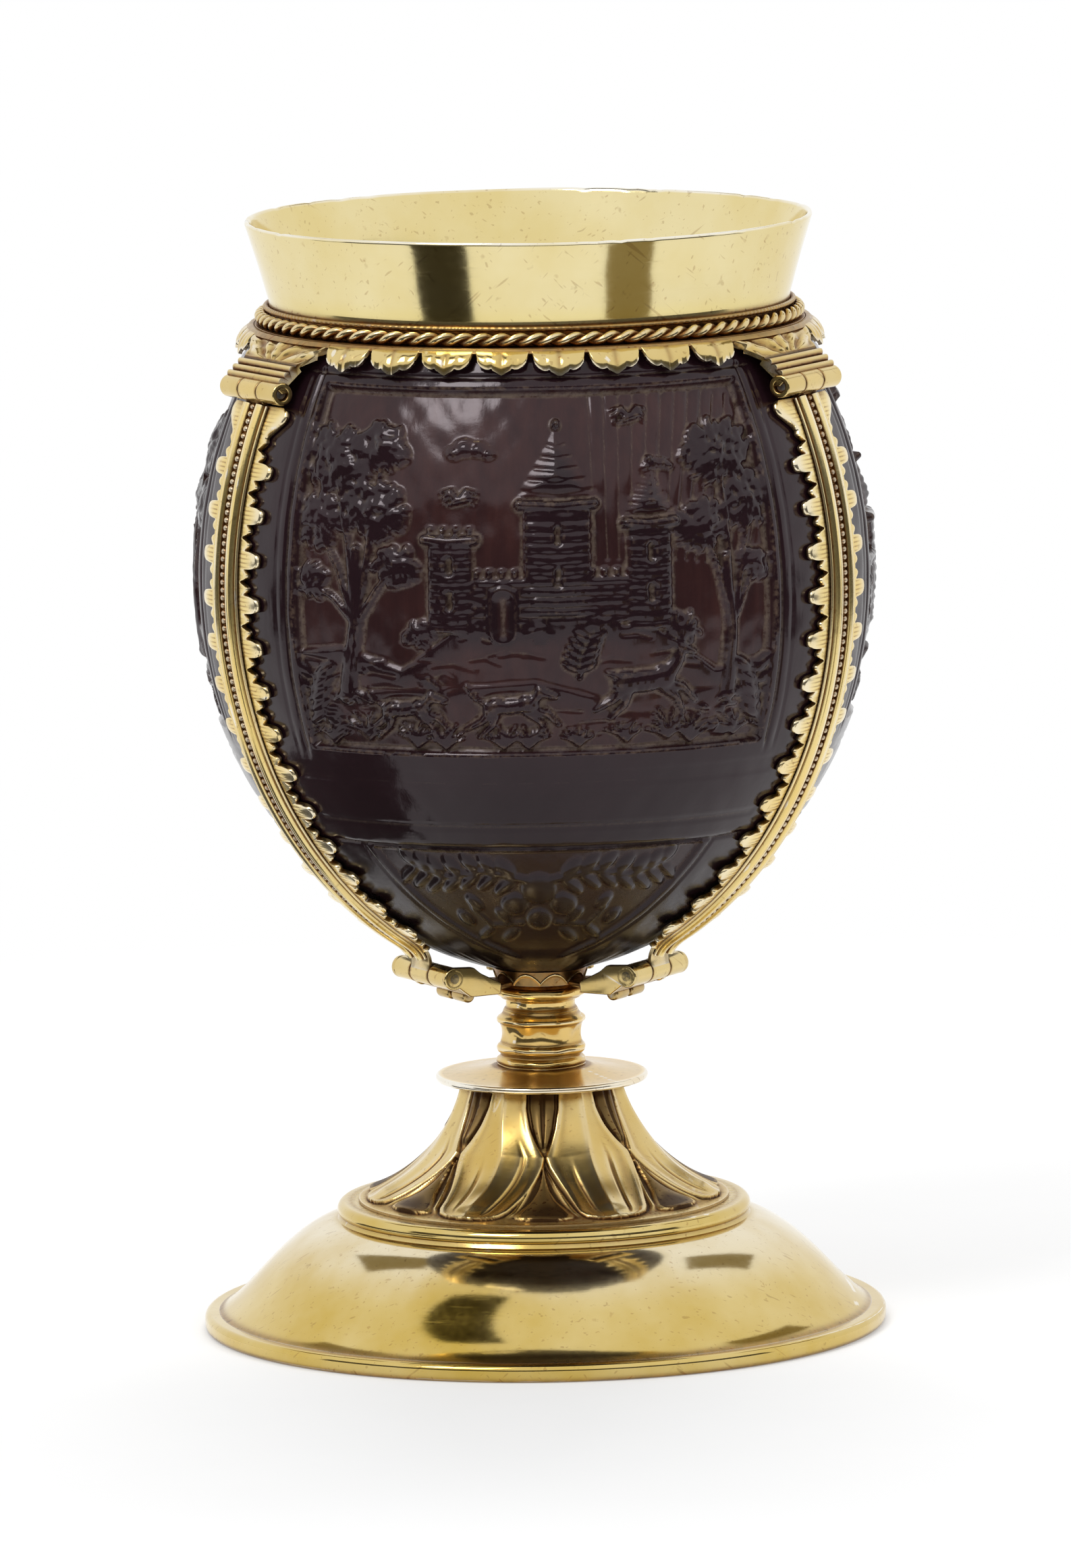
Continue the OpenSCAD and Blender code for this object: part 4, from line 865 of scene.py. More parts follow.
    def strokes(self, line, n, drop):
        """Short curved cuts that follow a bank of earth."""
        g = self.g
        self.begin_cuts()
        for _ in range(n):
            x = g.uniform(-38, 38)
            z = np.interp(x, *np.array(line, float).T) - g.uniform(0.4, drop)
            w = g.uniform(1.6, 4.5)
            self.cut([(x - w, z + g.uniform(-0.7, 0.1)), (x, z + 0.2), (x + w, z + g.uniform(-0.8, 0.1))],
                     0.4, 0.28)

    def plant(self, x, z, size, lean):
        self.limb([(x, z), (x + lean * size * 0.35, z + size * 0.55), (x + lean * size, z + size)],
                  0.42, 0.25, 0.6, 0.2)
        for q in np.linspace(0.2, 0.95, 5):
            px, pz = x + lean * size * q * q, z + size * q
            for s in SIDES:
                self.blob(px + s * size * 0.22, pz + size * 0.10, size * 0.25, size * 0.12, s * 0.55, 0.75, 0.2)

    def soften(self, times):
        for _ in range(times):
            p = np.pad(self.h, 1, mode="edge")
            self.h = (p[:-2, 1:-1] + p[2:, 1:-1] + p[1:-1, :-2] + p[1:-1, 2:] + 4 * self.h) / 8

    def sample(self, x, z):
        u = np.clip((x - self.x[0]) / self.RES, 0, len(self.x) - 1.001)
        v = np.clip((z - self.z[0]) / self.RES, 0, len(self.z) - 1.001)
        i, j = u.astype(int), v.astype(int)
        u, v = u - i, v - j
        low, high = (self.h[k, i] * (1 - u) + self.h[k, i + 1] * u for k in (j, j + 1))
        return low * (1 - v) + high * v


def landscape(seed, far, near, rays, build):
    """One panel: two banks of earth, its motifs, a hatched sky behind them and the plants along its foot."""
    p = Relief(-46, 46, 86, 148, seed)
    for line, h in ((far, 0.55), (near, 0.45)):
        p.ground(line, h)
        p.strokes(line, 16, 6)
    build(p)
    p.rays(*rays)
    for x in np.arange(-36.5, 38, 6.1):
        p.tuft(x + p.g.uniform(-1.5, 1.5), 92.3 + p.g.uniform(-0.3, 0.8), 8, p.g.uniform(3.0, 4.6))
    p.soften(2)
    return p


def front_scene(p):
    p.rocks(-24, 104, 16, 8, 0.7)
    p.tower(3.5, 112, 128, 5.0, 11, 1.0)
    p.wall(-13, 18, 110.5, 117.5, 0.6)
    p.tower(-12.5, 109.5, 123, 3.4, 0, 1.0)
    p.tower(17.5, 109.5, 125, 3.4, 8.5, 1.0)
    p.gate(-4.6, 110)
    for bush in ((-9, 110, 2.6, 1.6), (0.5, 109.6, 2.8, 1.6), (9.5, 110.2, 3.2, 1.8), (22.5, 109, 2.8, 1.8),
                 (-17.5, 109, 2.4, 1.7)):
        p.foliage(*bush, 0.7, 0.85)
    p.tree(-29, 99.5, 121, 1.5, [(-34.5, 125, 4.4, 3.4), (-24.5, 127, 5.0, 3.8), (-31, 134, 6.0, 4.4),
                                 (-22.5, 136, 3.6, 2.8), (-21, 119, 3.2, 2.4), (-36, 116, 2.8, 2.2)], 1.6)
    p.tree(30.5, 99, 119, -0.5, [(26, 124, 4.2, 3.2), (34.5, 127, 4.2, 3.6), (29, 134.5, 5.6, 4.2),
                                 (35.5, 118, 2.8, 2.2)], 1.4)
    p.cloud(-9, 135.5, 1.0)
    p.bird(-11, 128.5, 0.85)
    p.bird(14.5, 139.8, 0.85)
    p.cloud(19, 133, 0.7)
    p.beast(16.5, 101.5, 1.12, 1, True)
    p.beast(-3.5, 98.3, 0.98, 1, False)
    p.beast(-19.5, 97.6, 0.92, 1, False)
    p.plant(-37, 93, 9.5, 0.2)
    p.plant(36.5, 93, 9.5, -0.2)
    p.plant(6.5, 102.5, 6, 0.3)
    p.rocks(-30, 95.5, 9, 5, 0.8)
    p.rocks(30, 95.5, 9, 6, 0.8)


def right_scene(p):
    p.tree(0, 99, 121, -1.5, [(-8, 124, 5.2, 4.0), (7, 125, 5.4, 4.0), (-1, 134, 7.0, 4.8), (-14, 131, 3.8, 3.0),
                              (13, 133, 4.0, 3.0)], 2.1)
    p.tower(-26, 104, 120, 3.8, 8.5, 1.0)
    p.wall(-36, -21, 103, 110, 0.6)
    p.tower(-35, 103, 115, 2.8, 0, 0.9)
    p.tree(29, 101, 118, 1.5, [(24, 123, 4.4, 3.4), (34, 125, 4.4, 3.4), (29, 132, 5.4, 4.0)], 1.3)
    p.beast(14.5, 101.5, 1.1, -1, True)
    p.beast(31, 97, 0.92, -1, False)
    p.beast(-14, 97, 0.95, -1, False)
    p.bird(-22, 138, 1.0)
    p.cloud(18, 140, 0.9)
    p.rocks(-22, 98, 12, 7)
    p.rocks(22, 94.5, 10, 5)


def left_scene(p):
    p.tower(-13, 105, 121, 3.6, 8.5, 1.0)
    p.tower(3, 106, 117, 4.0, 0, 1.0)
    p.tower(17, 105, 122, 3.6, 8.5, 1.0)
    p.wall(-12, 16, 105, 111.5, 0.6)
    p.tree(-28, 100, 119, 1, [(-33, 124, 4.6, 3.6), (-23, 125, 4.8, 3.6), (-28, 133, 6.0, 4.4)], 1.6)
    p.tree(30, 102, 120, -1, [(25, 125, 4.6, 3.4), (35, 124, 4.4, 3.4), (30, 133, 5.8, 4.2)], 1.5)
    p.beast(-10, 98.8, 1.1, -1, True)
    p.beast(14, 97.6, 0.98, -1, False)
    p.bird(2, 134, 1.1)
    p.cloud(12, 137, 1.0)
    p.cloud(-8, 139, 0.8)
    p.rocks(-30, 96, 10, 6)
    p.rocks(29, 97, 10, 6)


def garland():
    """The lower panel: fruit between two leafy branches."""
    p = Relief(-34, 34, 50, 80, 5)
    for x, z, r in ((0, 69.5, 2.6), (-3.6, 66.8, 2.0), (3.6, 66.8, 2.0), (0, 64.2, 1.9)):
        p.blob(x, z, r, r, 0, 0.85, 0.15)
    for s in SIDES:
        stem = np.array([(s * 2, 71), (s * 8, 72.6), (s * 14, 71.4), (s * 19, 73)])
        p.limb(stem, 0.6, 0.35, 0.55, 0.15)
        for q in np.linspace(0.1, 1, 7):
            x, z = (np.interp(q, np.linspace(0, 1, 4), way) for way in stem.T)
            for up in SIDES:
                p.blob(x + s * 1.1, z + up * 1.5, 2.0, 0.95, s * up * 0.75, 0.75, 0.15)
        p.limb([(s * 2.5, 63.5), (s * 7, 63), (s * 10, 66)], 0.5, 0.3, 0.5, 0.15)
        for x, z in ((5.2, 64.8), (7.8, 61.6), (9.6, 67), (4.2, 61.2), (11, 64.2)):
            p.blob(s * x, z, 1.8, 0.9, s * (0.8 if z > 63 else -0.8), 0.65, 0.15)
    p.soften(2)
    return p


PANELS = {
    270: landscape(21, [(-46, 105), (-30, 107), (-20, 104), (-12, 110), (4, 111.5), (18, 110), (28, 103),
                        (46, 105)],
                   [(-46, 99), (-20, 101), (0, 102.5), (12, 99), (30, 100.5), (46, 99)],
                   (12, 40, 74, 92, 15, 80, 104), front_scene),
    30: landscape(33, [(-46, 105), (-34, 104), (-22, 106), (-8, 104), (6, 101), (18, 106), (30, 104),
                       (46, 106)],
                  [(-46, 98), (-20, 99.5), (0, 98), (20, 100), (46, 98)],
                  (-8, 40, 84, 104, 15, 82, 104), right_scene),
    150: landscape(47, [(-46, 103), (-30, 107), (-14, 106), (2, 107), (14, 106), (28, 107), (46, 104)],
                   [(-46, 99), (-24, 101), (0, 100), (20, 102), (46, 99)],
                   (8, 40, 78, 98, 15, 82, 104), left_scene)}
PANEL_SUNK, PANEL_RISE, PANEL_TOP = 1.35, 1.22, 0.2
LOWER_SUNK, LOWER_RISE, LOWER_TOP = 0.60, 0.56, 0.12
# Frame lines: place (a height, or degrees from the panel's middle), half width and depth
FRAME_RINGS = ((145.6, 0.42, 0.34), (87.8, 0.38, 0.30), (86.9, 0.3, 0.15), (79.9, 0.38, 0.30),
               (76.6, 0.42, 0.34))
FRAME_SIDES = ((45.4, 0.42, 0.34), (47.6, 0.3, 0.20))


def carved_shell():
    rows, cols = 348, 912
    fine = np.linspace(POLE, math.asin(MOUTH_UP / SHELL_UP), 6000)
    p = shell_pt(fine)
    # Rows lie closer together where the carving is
    near = 0.42 + 0.58 * smooth(89, 91, p[:, 1]) * smooth(147, 145, p[:, 1])
    near += 0.25 * smooth(56, 58, p[:, 1]) * smooth(78, 76, p[:, 1])
    run = np.concatenate([[0], np.cumsum(np.linalg.norm(np.diff(p, axis=0), axis=1) * near[1:])])
    a = np.interp(np.linspace(0, run[-1], rows), run, fine)
    path, normal = shell_pt(a), path_normals(p)
    normal = np.stack([np.interp(a, fine, normal[:, i]) for i in (0, 1)], -1)
    az = np.arange(cols) / cols * TAU
    r, z = (np.repeat(path[:, i:i + 1], cols, 1) for i in (0, 1))

    depth = 0.05 * waves(71, 12, 9, 0.11)(az[None, :], z) + 0.020 * waves(72, 40, 64, 1.1)(az[None, :], z)
    marks = 0.034 * waves(73, 46, 84, 1.5)(az[None, :], z)
    ground = np.zeros_like(depth)
    low_scene = garland()
    for centre, scene in PANELS.items():
        phi = wrapped(az - math.radians(centre))[None, :]
        x, deg = phi * r, np.degrees(np.abs(phi)) + 0 * z
        panel = smooth(43.8, 42.9, deg) * smooth(91.2, 91.8, z) * smooth(144.2, 143.4, z)
        pic = np.where(panel > 0.01, scene.sample(x, z), 0)
        depth += panel * (np.minimum(-PANEL_SUNK + pic * PANEL_RISE + marks, PANEL_TOP) - depth)
        ground = np.maximum(ground, panel * smooth(0.6, 0.2, pic))
        own = smooth(60, 58, deg)
        for at, wide, deep in FRAME_RINGS:
            depth -= own * smooth(50, 48, deg) * deep * np.clip(1 - np.abs(z - at) / wide, 0, 1)
        for at, wide, deep in FRAME_SIDES:
            side = own * deep * np.clip(1 - np.abs(deg - at) * r * math.pi / 180 / wide, 0, 1)
            depth -= side * smooth(89, 92, z) * smooth(146.5, 145, z)
        margin = (math.pi / 3 - np.abs(phi)) * r
        lower = smooth(14.6, 15.3, margin) * smooth(76.2, 75.6, z) * smooth(56.5, 58.5, z)
        pic = np.where(lower > 0.01, low_scene.sample(x, z), 0)
        depth += lower * (np.minimum(-LOWER_SUNK + pic * LOWER_RISE, LOWER_TOP) - depth)
        ground = np.maximum(ground, 0.6 * lower * smooth(0.4, 0.1, pic))
        line = np.clip(1 - np.abs(margin - 13.4) / 0.4, 0, 1)
        depth -= 0.28 * line * smooth(76.8, 75.8, z) * smooth(56, 60, z)

    outside = around(path[:, :1] + normal[:, :1] * depth, az, path[:, 1:] + normal[:, 1:] * depth)
    hollow, _, _ = even_steps(POLE, math.asin(MOUTH_UP / (SHELL_UP - WALL)), 44, WALL)
    ring = np.vstack([[[39.6, 148.62], [39.2, MOUTH_Z], [35.6, MOUTH_Z]], hollow[::-1]])
    carve = np.zeros((rows + len(ring), cols, 4))
    sunk = (blurred(depth, 6) - depth) / 0.28
    carve[:rows, :, 0] = np.clip(sunk, 0, 1)
    carve[:rows, :, 1] = np.clip(-sunk, 0, 1)
    carve[:rows, :, 2] = ground
    s = Solid()
    s.tube(np.vstack([outside, around(ring[:, :1], az, ring[:, 1:])]), carve)
    uv = np.stack(np.meshgrid(np.arange(cols) / cols, np.linspace(0, 1, rows + len(ring))), -1).reshape(-1, 2)
    s.make("carved_shell", SHELL, "base", ["coconut_shell"], 60, "shell", "carve", uv)


carved_shell()


# Calyx and lower hinges

CALYX_R, CALYX_TALL, TIPS = 6.5, 2.1, 10


def calyx():
    """A small dish with a leafed side. Its top follows the shell."""
    rows, cols = 44, 480
    th = np.arange(cols) / cols * TAU
    up = np.linspace(0, 1, rows)[:, None]
    low = SOCKET_TOP + 0.02
    tip = 0.45 + 1.4 * np.abs(np.sin(TIPS / 2 * (th + math.pi / 2)))[None, :] ** 0.85
    inside = tip - CALYX_TALL * up
    leaf = 0.20 * smooth(-0.04, 0.10, inside) - 0.10 * smooth(0.2, 0.6, inside)
    seat, _, _ = even_steps(POLE, low_angle(6.75), 16)
    seat = seat[::-1] - (0, 0.3)
    rings = [around(np.array([[AXIS_R]]), th, low),
             around(CALYX_R + 0.42 * up + leaf, th, low + CALYX_TALL * up),
             around(seat[:, :1], th, seat[:, 1:])]
    dark = np.zeros((1 + rows + len(seat), cols))
    # Tarnish and painted shade: the calyx, under the shell, is darkened all round; the edges of its leaf tips are
    # worn bare.
    dark[1:1 + rows] = 0.85 - 1.3 * bump(inside, 0.10, 0.11)
    s = Solid()
    s.tube(np.vstack(rings), dark)
    s.make("calyx_dish_gilt", GILT_CAST, "base", ["calyx_dish"])


def outer_knuckle(s, axis, side, az):
    s.rod(axis, *span(side, OUTER_KNUCKLE, OUTER_KNUCKLE + KNUCKLE_LEN), KNUCKLE_R, az, 0.22, KNUCKLE_BORE,
          joints=[side * OUTER_KNUCKLE])


def lower_hinge(name, az):
    """A flat arm under the calyx, with a cheek and a knuckle on each side."""
    web = SOCKET_TOP - 0.1
    plan = np.array([(6.1, 2.6), (9.6, 4.2), (11.2, 7.9), (15.9, 7.9)])
    plan = softened(np.vstack([plan, plan[::-1] * (1, -1)]), 0.5)
    inset = plan + 0.2 * np.sign(np.array([11.0, 0]) - plan)
    rings = [np.insert(o, 2, web + z, axis=1) for o, z in ((inset, 0), (plan, 0.2), (plan, 0.6), (inset, 0.8))]
    cheek = np.vstack([[[11.4, web], [16.3, web]], arc(LOWER, KNUCKLE_R + 0.02, -120, 100, 16),
                       [[15.8, 55.6], [14.6, 54.6], [11.2, web + 1.7]]])
    s = Solid()
    # The arm, the cheeks and the bars below are darkened, as tarnish and as painted shade under the calyx.
    s.tube(turn(np.array(rings), az), 0.6)
    for side in SIDES:
        s.prism(cheek, *span(side, 8.0, 6.9), az, 0.22, 0.15)
        outer_knuckle(s, LOWER, side, az)
        s.rod((14.5, web - 0.5), *span(side, 0.3, 4.2), 1.0, az, 0.45, tarnish_and_shade=0.45)
    s.rod((12.5, web - 0.1), -3.6, 3.6, 0.6, az, 0.25, tarnish_and_shade=0.3)
    s.make("lower_hinge_%s_gilt" % name, GILT_CAST, "base", ["lower_hinge_" + name])


def lower_pins():
    s = Solid()
    for az in STRAPS.values():
        s.rod(LOWER, -8.0, 8.0, PIN_R, az, 0.12)
    s.make("lower_pins_iron", STEEL, "base", ["lower_hinge_pins"], slot="steel")


calyx()
for strap_name, strap_az in STRAPS.items():
    lower_hinge(strap_name, strap_az)
lower_pins()


# Lip, rope and skirt

FLANGE_TOP, LIP_STRAIGHT = 149.65, 152.65
ROPE_R, ROPE_Z, ROPE_TURNS = 39.4, 150.75, 46
STRAND_R, STRAND_OFF = 0.575, 0.47
FILLET_Z = 152.2
BRACKET_HALF, LOBES = 15.2, 8
LOBE_AT = [0, 0.08, 0.18, 0.30, 0.36, 0.44, 0.58, 0.74, 0.86, 0.91, 0.96, 1.0]
LOBE_END = [1.0, 0.97, 0.90, 0.84, 0.76, 0.80, 0.79, 0.70, 0.56, 0.40, 0.14, 0.08]


def lip():
    """A flared band, a little oval and uneven, with a worn and nicked rim."""
    prof = [(37.4, FLANGE_TOP), (38.3, FLANGE_TOP), (38.3, LIP_STRAIGHT), (38.34, LIP_STRAIGHT + 0.6)]
    prof += [(38.34 + (41.75 - 38.34) * q, 153.25 + 11.35 * q) for q in np.linspace(0.05, 1, 14)]
    prof += [(41.6, 164.98), (41.2, 164.98), (40.95, 164.6)]
    prof += [(37.46 + (40.9 - 37.46) * q, 153.0 + 11.4 * q) for q in np.linspace(0.97, 0, 14)]
    prof = dense(softened(prof, 0.12, 3), 0.7)
    uneven, rim = waves(15, 16, 8, 0.16), waves(16, 14, 11, 0.0)
    g = np.random.default_rng(4)
    nicks = [(g.uniform(0, TAU), g.uniform(0.012, 0.03), g.uniform(0.04, 0.14)) for _ in range(26)]

    def bend(th, r, z):
        worn = 0.06 + 0.05 * rim(th, 0)
        for at, wide, deep in nicks:
            worn = worn + deep * bump(wrapped(th - at), 0, wide)
        oval = 0.16 * np.cos(2 * (th - 0.5)) - 0.16
        down = -np.clip(worn, 0, 0.5) * smooth(164.2, 164.7, z)
        return smooth(153, 160, z) * (0.055 * uneven(th, z) + oval), down

    z = prof[:, 1]
    s = Solid()
    s.lathe(prof, 420, bend, 0.7 * smooth(153.5, 152.6, z) - 0.9 * smooth(164.55, 164.85, z)
            - 0.16 * smooth(153.4, 156, z))
    s.make("lip_sheet_gilt", GILT, "lip", ["lip_band"])


def rope():
    """Two strands twisted round each other."""
    n = ROPE_TURNS * 24
    t = np.arange(n) / n * TAU
    q = (np.arange(12) / 12 * TAU)[None, :, None]
    s = Solid()
    for start in (0, math.pi):
        twist = ROPE_TURNS * t + start
        mid = around(ROPE_R + STRAND_OFF * np.cos(twist), t, ROPE_Z + STRAND_OFF * np.sin(twist))
        tan = np.roll(mid, -1, 0) - np.roll(mid, 1, 0)
        tan /= np.linalg.norm(tan, axis=1, keepdims=True)
        e1 = np.cross(tan, [0, 0, 1.0])
        e1 /= np.linalg.norm(e1, axis=1, keepdims=True)
        e2 = np.cross(e1, tan)
        wire = mid[:, None, :] + STRAND_R * (np.cos(q) * e1[:, None, :] + np.sin(q) * e2[:, None, :])
        d = np.hypot(np.hypot(wire[..., 0], wire[..., 1]) - ROPE_R, wire[..., 2] - ROPE_Z)
        s.grid(wire, True, True, smooth(0.97, 0.72, d) - 0.35 * smooth(0.98, 1.03, d))
    s.make("rope_gilt", GILT_CAST, "lip", ["rope_wire"], 60)


def leaf_skirt():
    """Each lobe is a small curled leaf: round shoulders, two notches and a pointed tip."""
    path = bezier((41.1, 149.6), (42.4, 149.0), (43.05, 147.3), (43.35, 145.9), 24)
    normal = path_normals(path[::-1])[::-1]
    step = math.radians((120 - 2 * BRACKET_HALF) / LOBES)
    u, v = np.linspace(-1, 1, 41)[None, :], np.linspace(0, 1, 15)[:, None]
    ends = np.interp(np.abs(u), LOBE_AT, LOBE_END)
    puff = 0.34 * (1 - u ** 2) * smooth(0.0, 0.7, v) - 0.15 * bump(u, 0, 0.09) * smooth(0.15, 0.5, v)
    puff = puff - 0.12 * bump(np.abs(u), 0.5, 0.1) * smooth(0.3, 0.8, v) - 0.16 * smooth(0.70, 1, v)
    # The lobes' tops, just under the rope, are painted darker as shade; a brown line runs down each middle and the
    # lower edges are worn bare.
    dark = (0.85 * smooth(0.30, 0.02, v) + 0.55 * bump(u, 0, 0.10) * smooth(0.9, 0.6, v)
            - 0.8 * smooth(0.86, 0.98, v))
    s = Solid()
    for az in STRAPS.values():
        for i in range(LOBES):
            g = np.random.default_rng(100 + i)
            tall = ends * (1 + 0.05 * g.uniform(-1, 1)) * np.interp(u, [-1, 1], 1 + 0.03 * g.uniform(-1, 1, 2))
            f = v * np.minimum(tall, 1.0) * 24
            j = np.clip(f.astype(int), 0, 23)
            w = (f - j)[..., None]
            p = path[j] * (1 - w) + path[np.minimum(j + 1, 24)] * w
            th = az + math.radians(BRACKET_HALF) + step * (i + 0.5) + u * step * 0.492
            layers = []
            for off in (puff - 0.1, puff - 0.65):
                q = p + normal[j] * off[..., None]
                layers.append(around(np.clip(q[..., 0], 40.5, 43.5), th, q[..., 1]))
            s.sleeve(np.vstack([layers[0], layers[1][::-1]]), np.vstack([dark, 0 * dark]))
    band = [(40.52, 149.1), (40.52, 149.62), (41.2, 149.62), (41.75, 149.0), (41.3, 148.75)]
    band = dense(softened(band, 0.1), 0.4)
    # The plain band under the rope is painted dark, as shade.
    s.lathe(band, 320, None, np.full(len(band), 0.85))
    s.make("leaf_skirt_gilt", GILT_CAST, "lip", ["leaf_skirt"], 50)


def bracket(name, az):
    """A chased leaf, three ridges below it, and two knuckles."""
    mid, low = np.array([43.72, 146.2]), np.array([46.72, 143.5])
    leaf = bezier((41.35, 148.9), (42.3, 148.5), (43.1, 147.3), (43.5, 146.5), 20)
    ridges, points, leafy = 3, 11, len(leaf)
    reach = np.linalg.norm(low - mid)
    d = (low - mid) / reach
    nrm = np.array([-d[1], d[0]])
    share = np.linspace(0, 1, points)
    ridge = [mid + d * ((0.02 + 0.30 * i + 0.30 * q) * reach)
             + nrm * (0.02 + 0.58 * math.sin(math.pi * q) ** 0.8)
             for i in range(ridges) for q in share]
    path = np.vstack([leaf, ridge, [mid + d * 3.85, mid + d * 3.95 - nrm * 0.8]])
    rest = len(path) - leafy
    back, tail = mid + (-0.9, -0.8), UPPER + (-0.9, 1.1)
    inner = np.vstack([leaf + (-0.35, -0.55), back + (tail - back) * (np.arange(rest) / (rest - 1))[:, None]])

    u, v = np.linspace(-1, 1, 61)[None, :], np.arange(len(path))[:, None]
    on_leaf = v < leafy
    q = np.clip(v / (leafy - 1), 0, 1)
    wide = np.interp(q, [0, 0.12, 0.3, 0.38, 0.55, 0.68, 0.82, 1], [10.5, 10.9, 10.2, 9.3, 9.9, 8.9, 8.5, 7.7])
    y = np.where(on_leaf, wide, 7.75) * u
    bent = np.where(on_leaf, 1 - smooth(0.6, 1.0, q), 0.0)
    fan = np.arctan2(y, 2.2 + 6 * (1 - q))
    lift = 0.20 * np.cos(fan * 13) + 0.16 * np.cos(u * 9 + 5 * q) * np.sin(q * 7)
    lift = np.where(on_leaf, lift * smooth(0, 0.15, q) * smooth(1.0, 0.85, q), 0)
    lift += 0.22 * smooth(0.86, 0.97, np.abs(u)) * np.where(on_leaf, smooth(1, 0.8, q), 0)
    normal = path_normals(path[::-1])[::-1]
    layers = []
    for p, h in ((path, lift), (inner, 0 * lift)):
        r, z = (p[:, i:i + 1] + normal[:, i:i + 1] * h + 0 * y for i in (0, 1))
        layers.append(np.stack([bent * r * np.cos(y / r) + (1 - bent) * r,
                                bent * r * np.sin(y / r) + (1 - bent) * y, z], -1))
    dark = np.clip(0.32 - 2.4 * lift, -0.4, 0.95) * on_leaf
    valleys = np.tile(0.95 - 1.10 * np.sin(math.pi * share) ** 2, ridges)
    dark[leafy:leafy + len(valleys)] = valleys[:, None]
    for i in range(ridges + 1):
        dark[leafy + points * i - 1:leafy + points * i + 1] += 0.9
    s = Solid()
    s.sleeve(turn(np.vstack([layers[0], layers[1][::-1]]), az), np.vstack([dark, 0 * dark]))
    web = [UPPER + (-1.5, 0.2), UPPER + (-0.9, 1.5), low + (-0.3, -0.2), UPPER + (0.9, 0.9), UPPER]
    for side in SIDES:
        y0, y1 = span(side, OUTER_KNUCKLE, OUTER_KNUCKLE + KNUCKLE_LEN)
        outer_knuckle(s, UPPER, side, az)
        s.prism(web, y0 + 0.05, y1 - 0.05, az, 0.12, 0.4)
    s.make("bracket_%s_gilt" % name, GILT_CAST, "lip", ["bracket_" + name], 50)


def upper_pins():
    s = Solid()
    for az in STRAPS.values():
        for side in SIDES:
            s.rod(UPPER, *span(side, OUTER_KNUCKLE + 0.02, OUTER_KNUCKLE + KNUCKLE_LEN - 0.55), PIN_R, az, 0.2)
    s.make("upper_pins_iron", STEEL, "lip", ["upper_pin_ends"], slot="steel")


lip()
# The seat's flange, under the rope, is painted dark as shade.
turned("lip_seat_gilt", [(34.38, 144.0), (35.28, 144.0), (35.28, 149.0), (40.45, 149.0), (40.45, FLANGE_TOP),
                         (34.38, FLANGE_TOP)],
       GILT_CAST, ["lip_seat"], 256, body="lip", soft=0.12, step=0.6,
       tarnish_and_shade=lambda r, z: 0.9 * smooth(38.5, 39.5, r))
turned("rope_fillet_gilt", arc((38.72, FILLET_Z), 0.36, 0, 345, 23), GILT_CAST, ["rope_fillet"], 1440,
       lambda th, r, z: (0.05 * np.cos(240 * th) * smooth(38.6, 38.9, r), 0 * r), "lip", 0.02, 0.2,
       lambda r, z: 0.75 + 0.25 * (z < FILLET_Z))
rope()
leaf_skirt()
for strap_name, strap_az in STRAPS.items():
    bracket(strap_name, strap_az)
upper_pins()


# Straps: scalloped plate, two reeds, a row of beads and a knuckle at each end

STRAP_TOP, LOBE_PITCH, BEAD_PITCH, BEAD_UP = 1.1, 6.5, 1.1, 0.34
HALF_KNUCKLE = KNUCKLE_LEN / 2
A_TOP = math.asin((UPPER[1] - KNUCKLE_R - 0.9 - BELLY_Z) / SHELL_UP)
shell_p, shell_n, shell_s = even_steps(low_angle(22.7), A_TOP, 900)
LENGTH = shell_s[-1]
COUNT = max(1, round(LENGTH / LOBE_PITCH))
PITCH = LENGTH / COUNT

# Below the shell the strap leaves it and runs on to the lower knuckle, at lengths below zero
off_shell = (shell_p[0] - shell_p[1]) / np.linalg.norm(shell_p[0] - shell_p[1])
on_knuckle = np.array([math.cos(0.42), math.sin(0.42)])
touch = LOWER + (KNUCKLE_R + 0.1) * on_knuckle
leave = shell_p[0] + STRAP_TOP * shell_n[0]
tail_p = bezier(touch, touch + 1.8 * np.array([-on_knuckle[1], on_knuckle[0]]), leave + 2.4 * off_shell,
                leave, 60)
tail_n = path_normals(tail_p)
TAIL = np.linalg.norm(np.diff(tail_p, axis=0), axis=1).sum()
way_s = np.concatenate([(along(tail_p) - TAIL)[:-1], shell_s])
way_p = np.vstack([(tail_p - STRAP_TOP * tail_n)[:-1], shell_p])
way_n = np.vstack([tail_n[:-1], shell_n])

# Half widths of the lobed border, from the middle of a gap to the middle of a lobe
LOBE_S = [0, 0.03, 0.05, 0.07, 0.10, 0.14, 0.18, 0.22, 0.25, 0.28, 0.295, 0.30, 0.305, 0.315, 0.33, 0.35,
          0.38, 0.42, 0.46, 0.485, 0.5]
LOBE_W = [0.35, 0.60, 1.05, 1.45, 1.80, 2.00, 1.95, 1.75, 1.50, 1.32, 1.40, 1.75, 2.35, 2.95, 3.45, 3.85,
          4.15, 4.32, 4.38, 4.41, 4.44]
FLARE_S = [0, 0.5, 1.2, 2.0, 3.2, 4.2, 4.7, 5.3, 5.9, PITCH]
FLARE_W = [3.7, 4.3, 4.5, 4.2, 2.9, 1.7, 1.45, 1.75, 1.1, 0.45]


def on_strap(s, off):
    """Points at a distance along the strap and a height over the shell."""
    p, q = (np.stack([np.interp(s, way_s, way[:, i]) for i in (0, 1)], -1) for way in (way_p, way_n))
    return p + q * np.asarray(off)[..., None]


def over_strap(s, off, t):
    """The same, with a place across the strap."""
    p = on_strap(s, off)
    return np.stack([p[..., 0], t + 0 * p[..., 0], p[..., 1]], -1)


def narrowed(s):
    """How far the strap's end draws in towards the knuckle."""
    return np.interp(s, [-TAIL, -2.5, 1.5], [0.72, 0.78, 1.0])


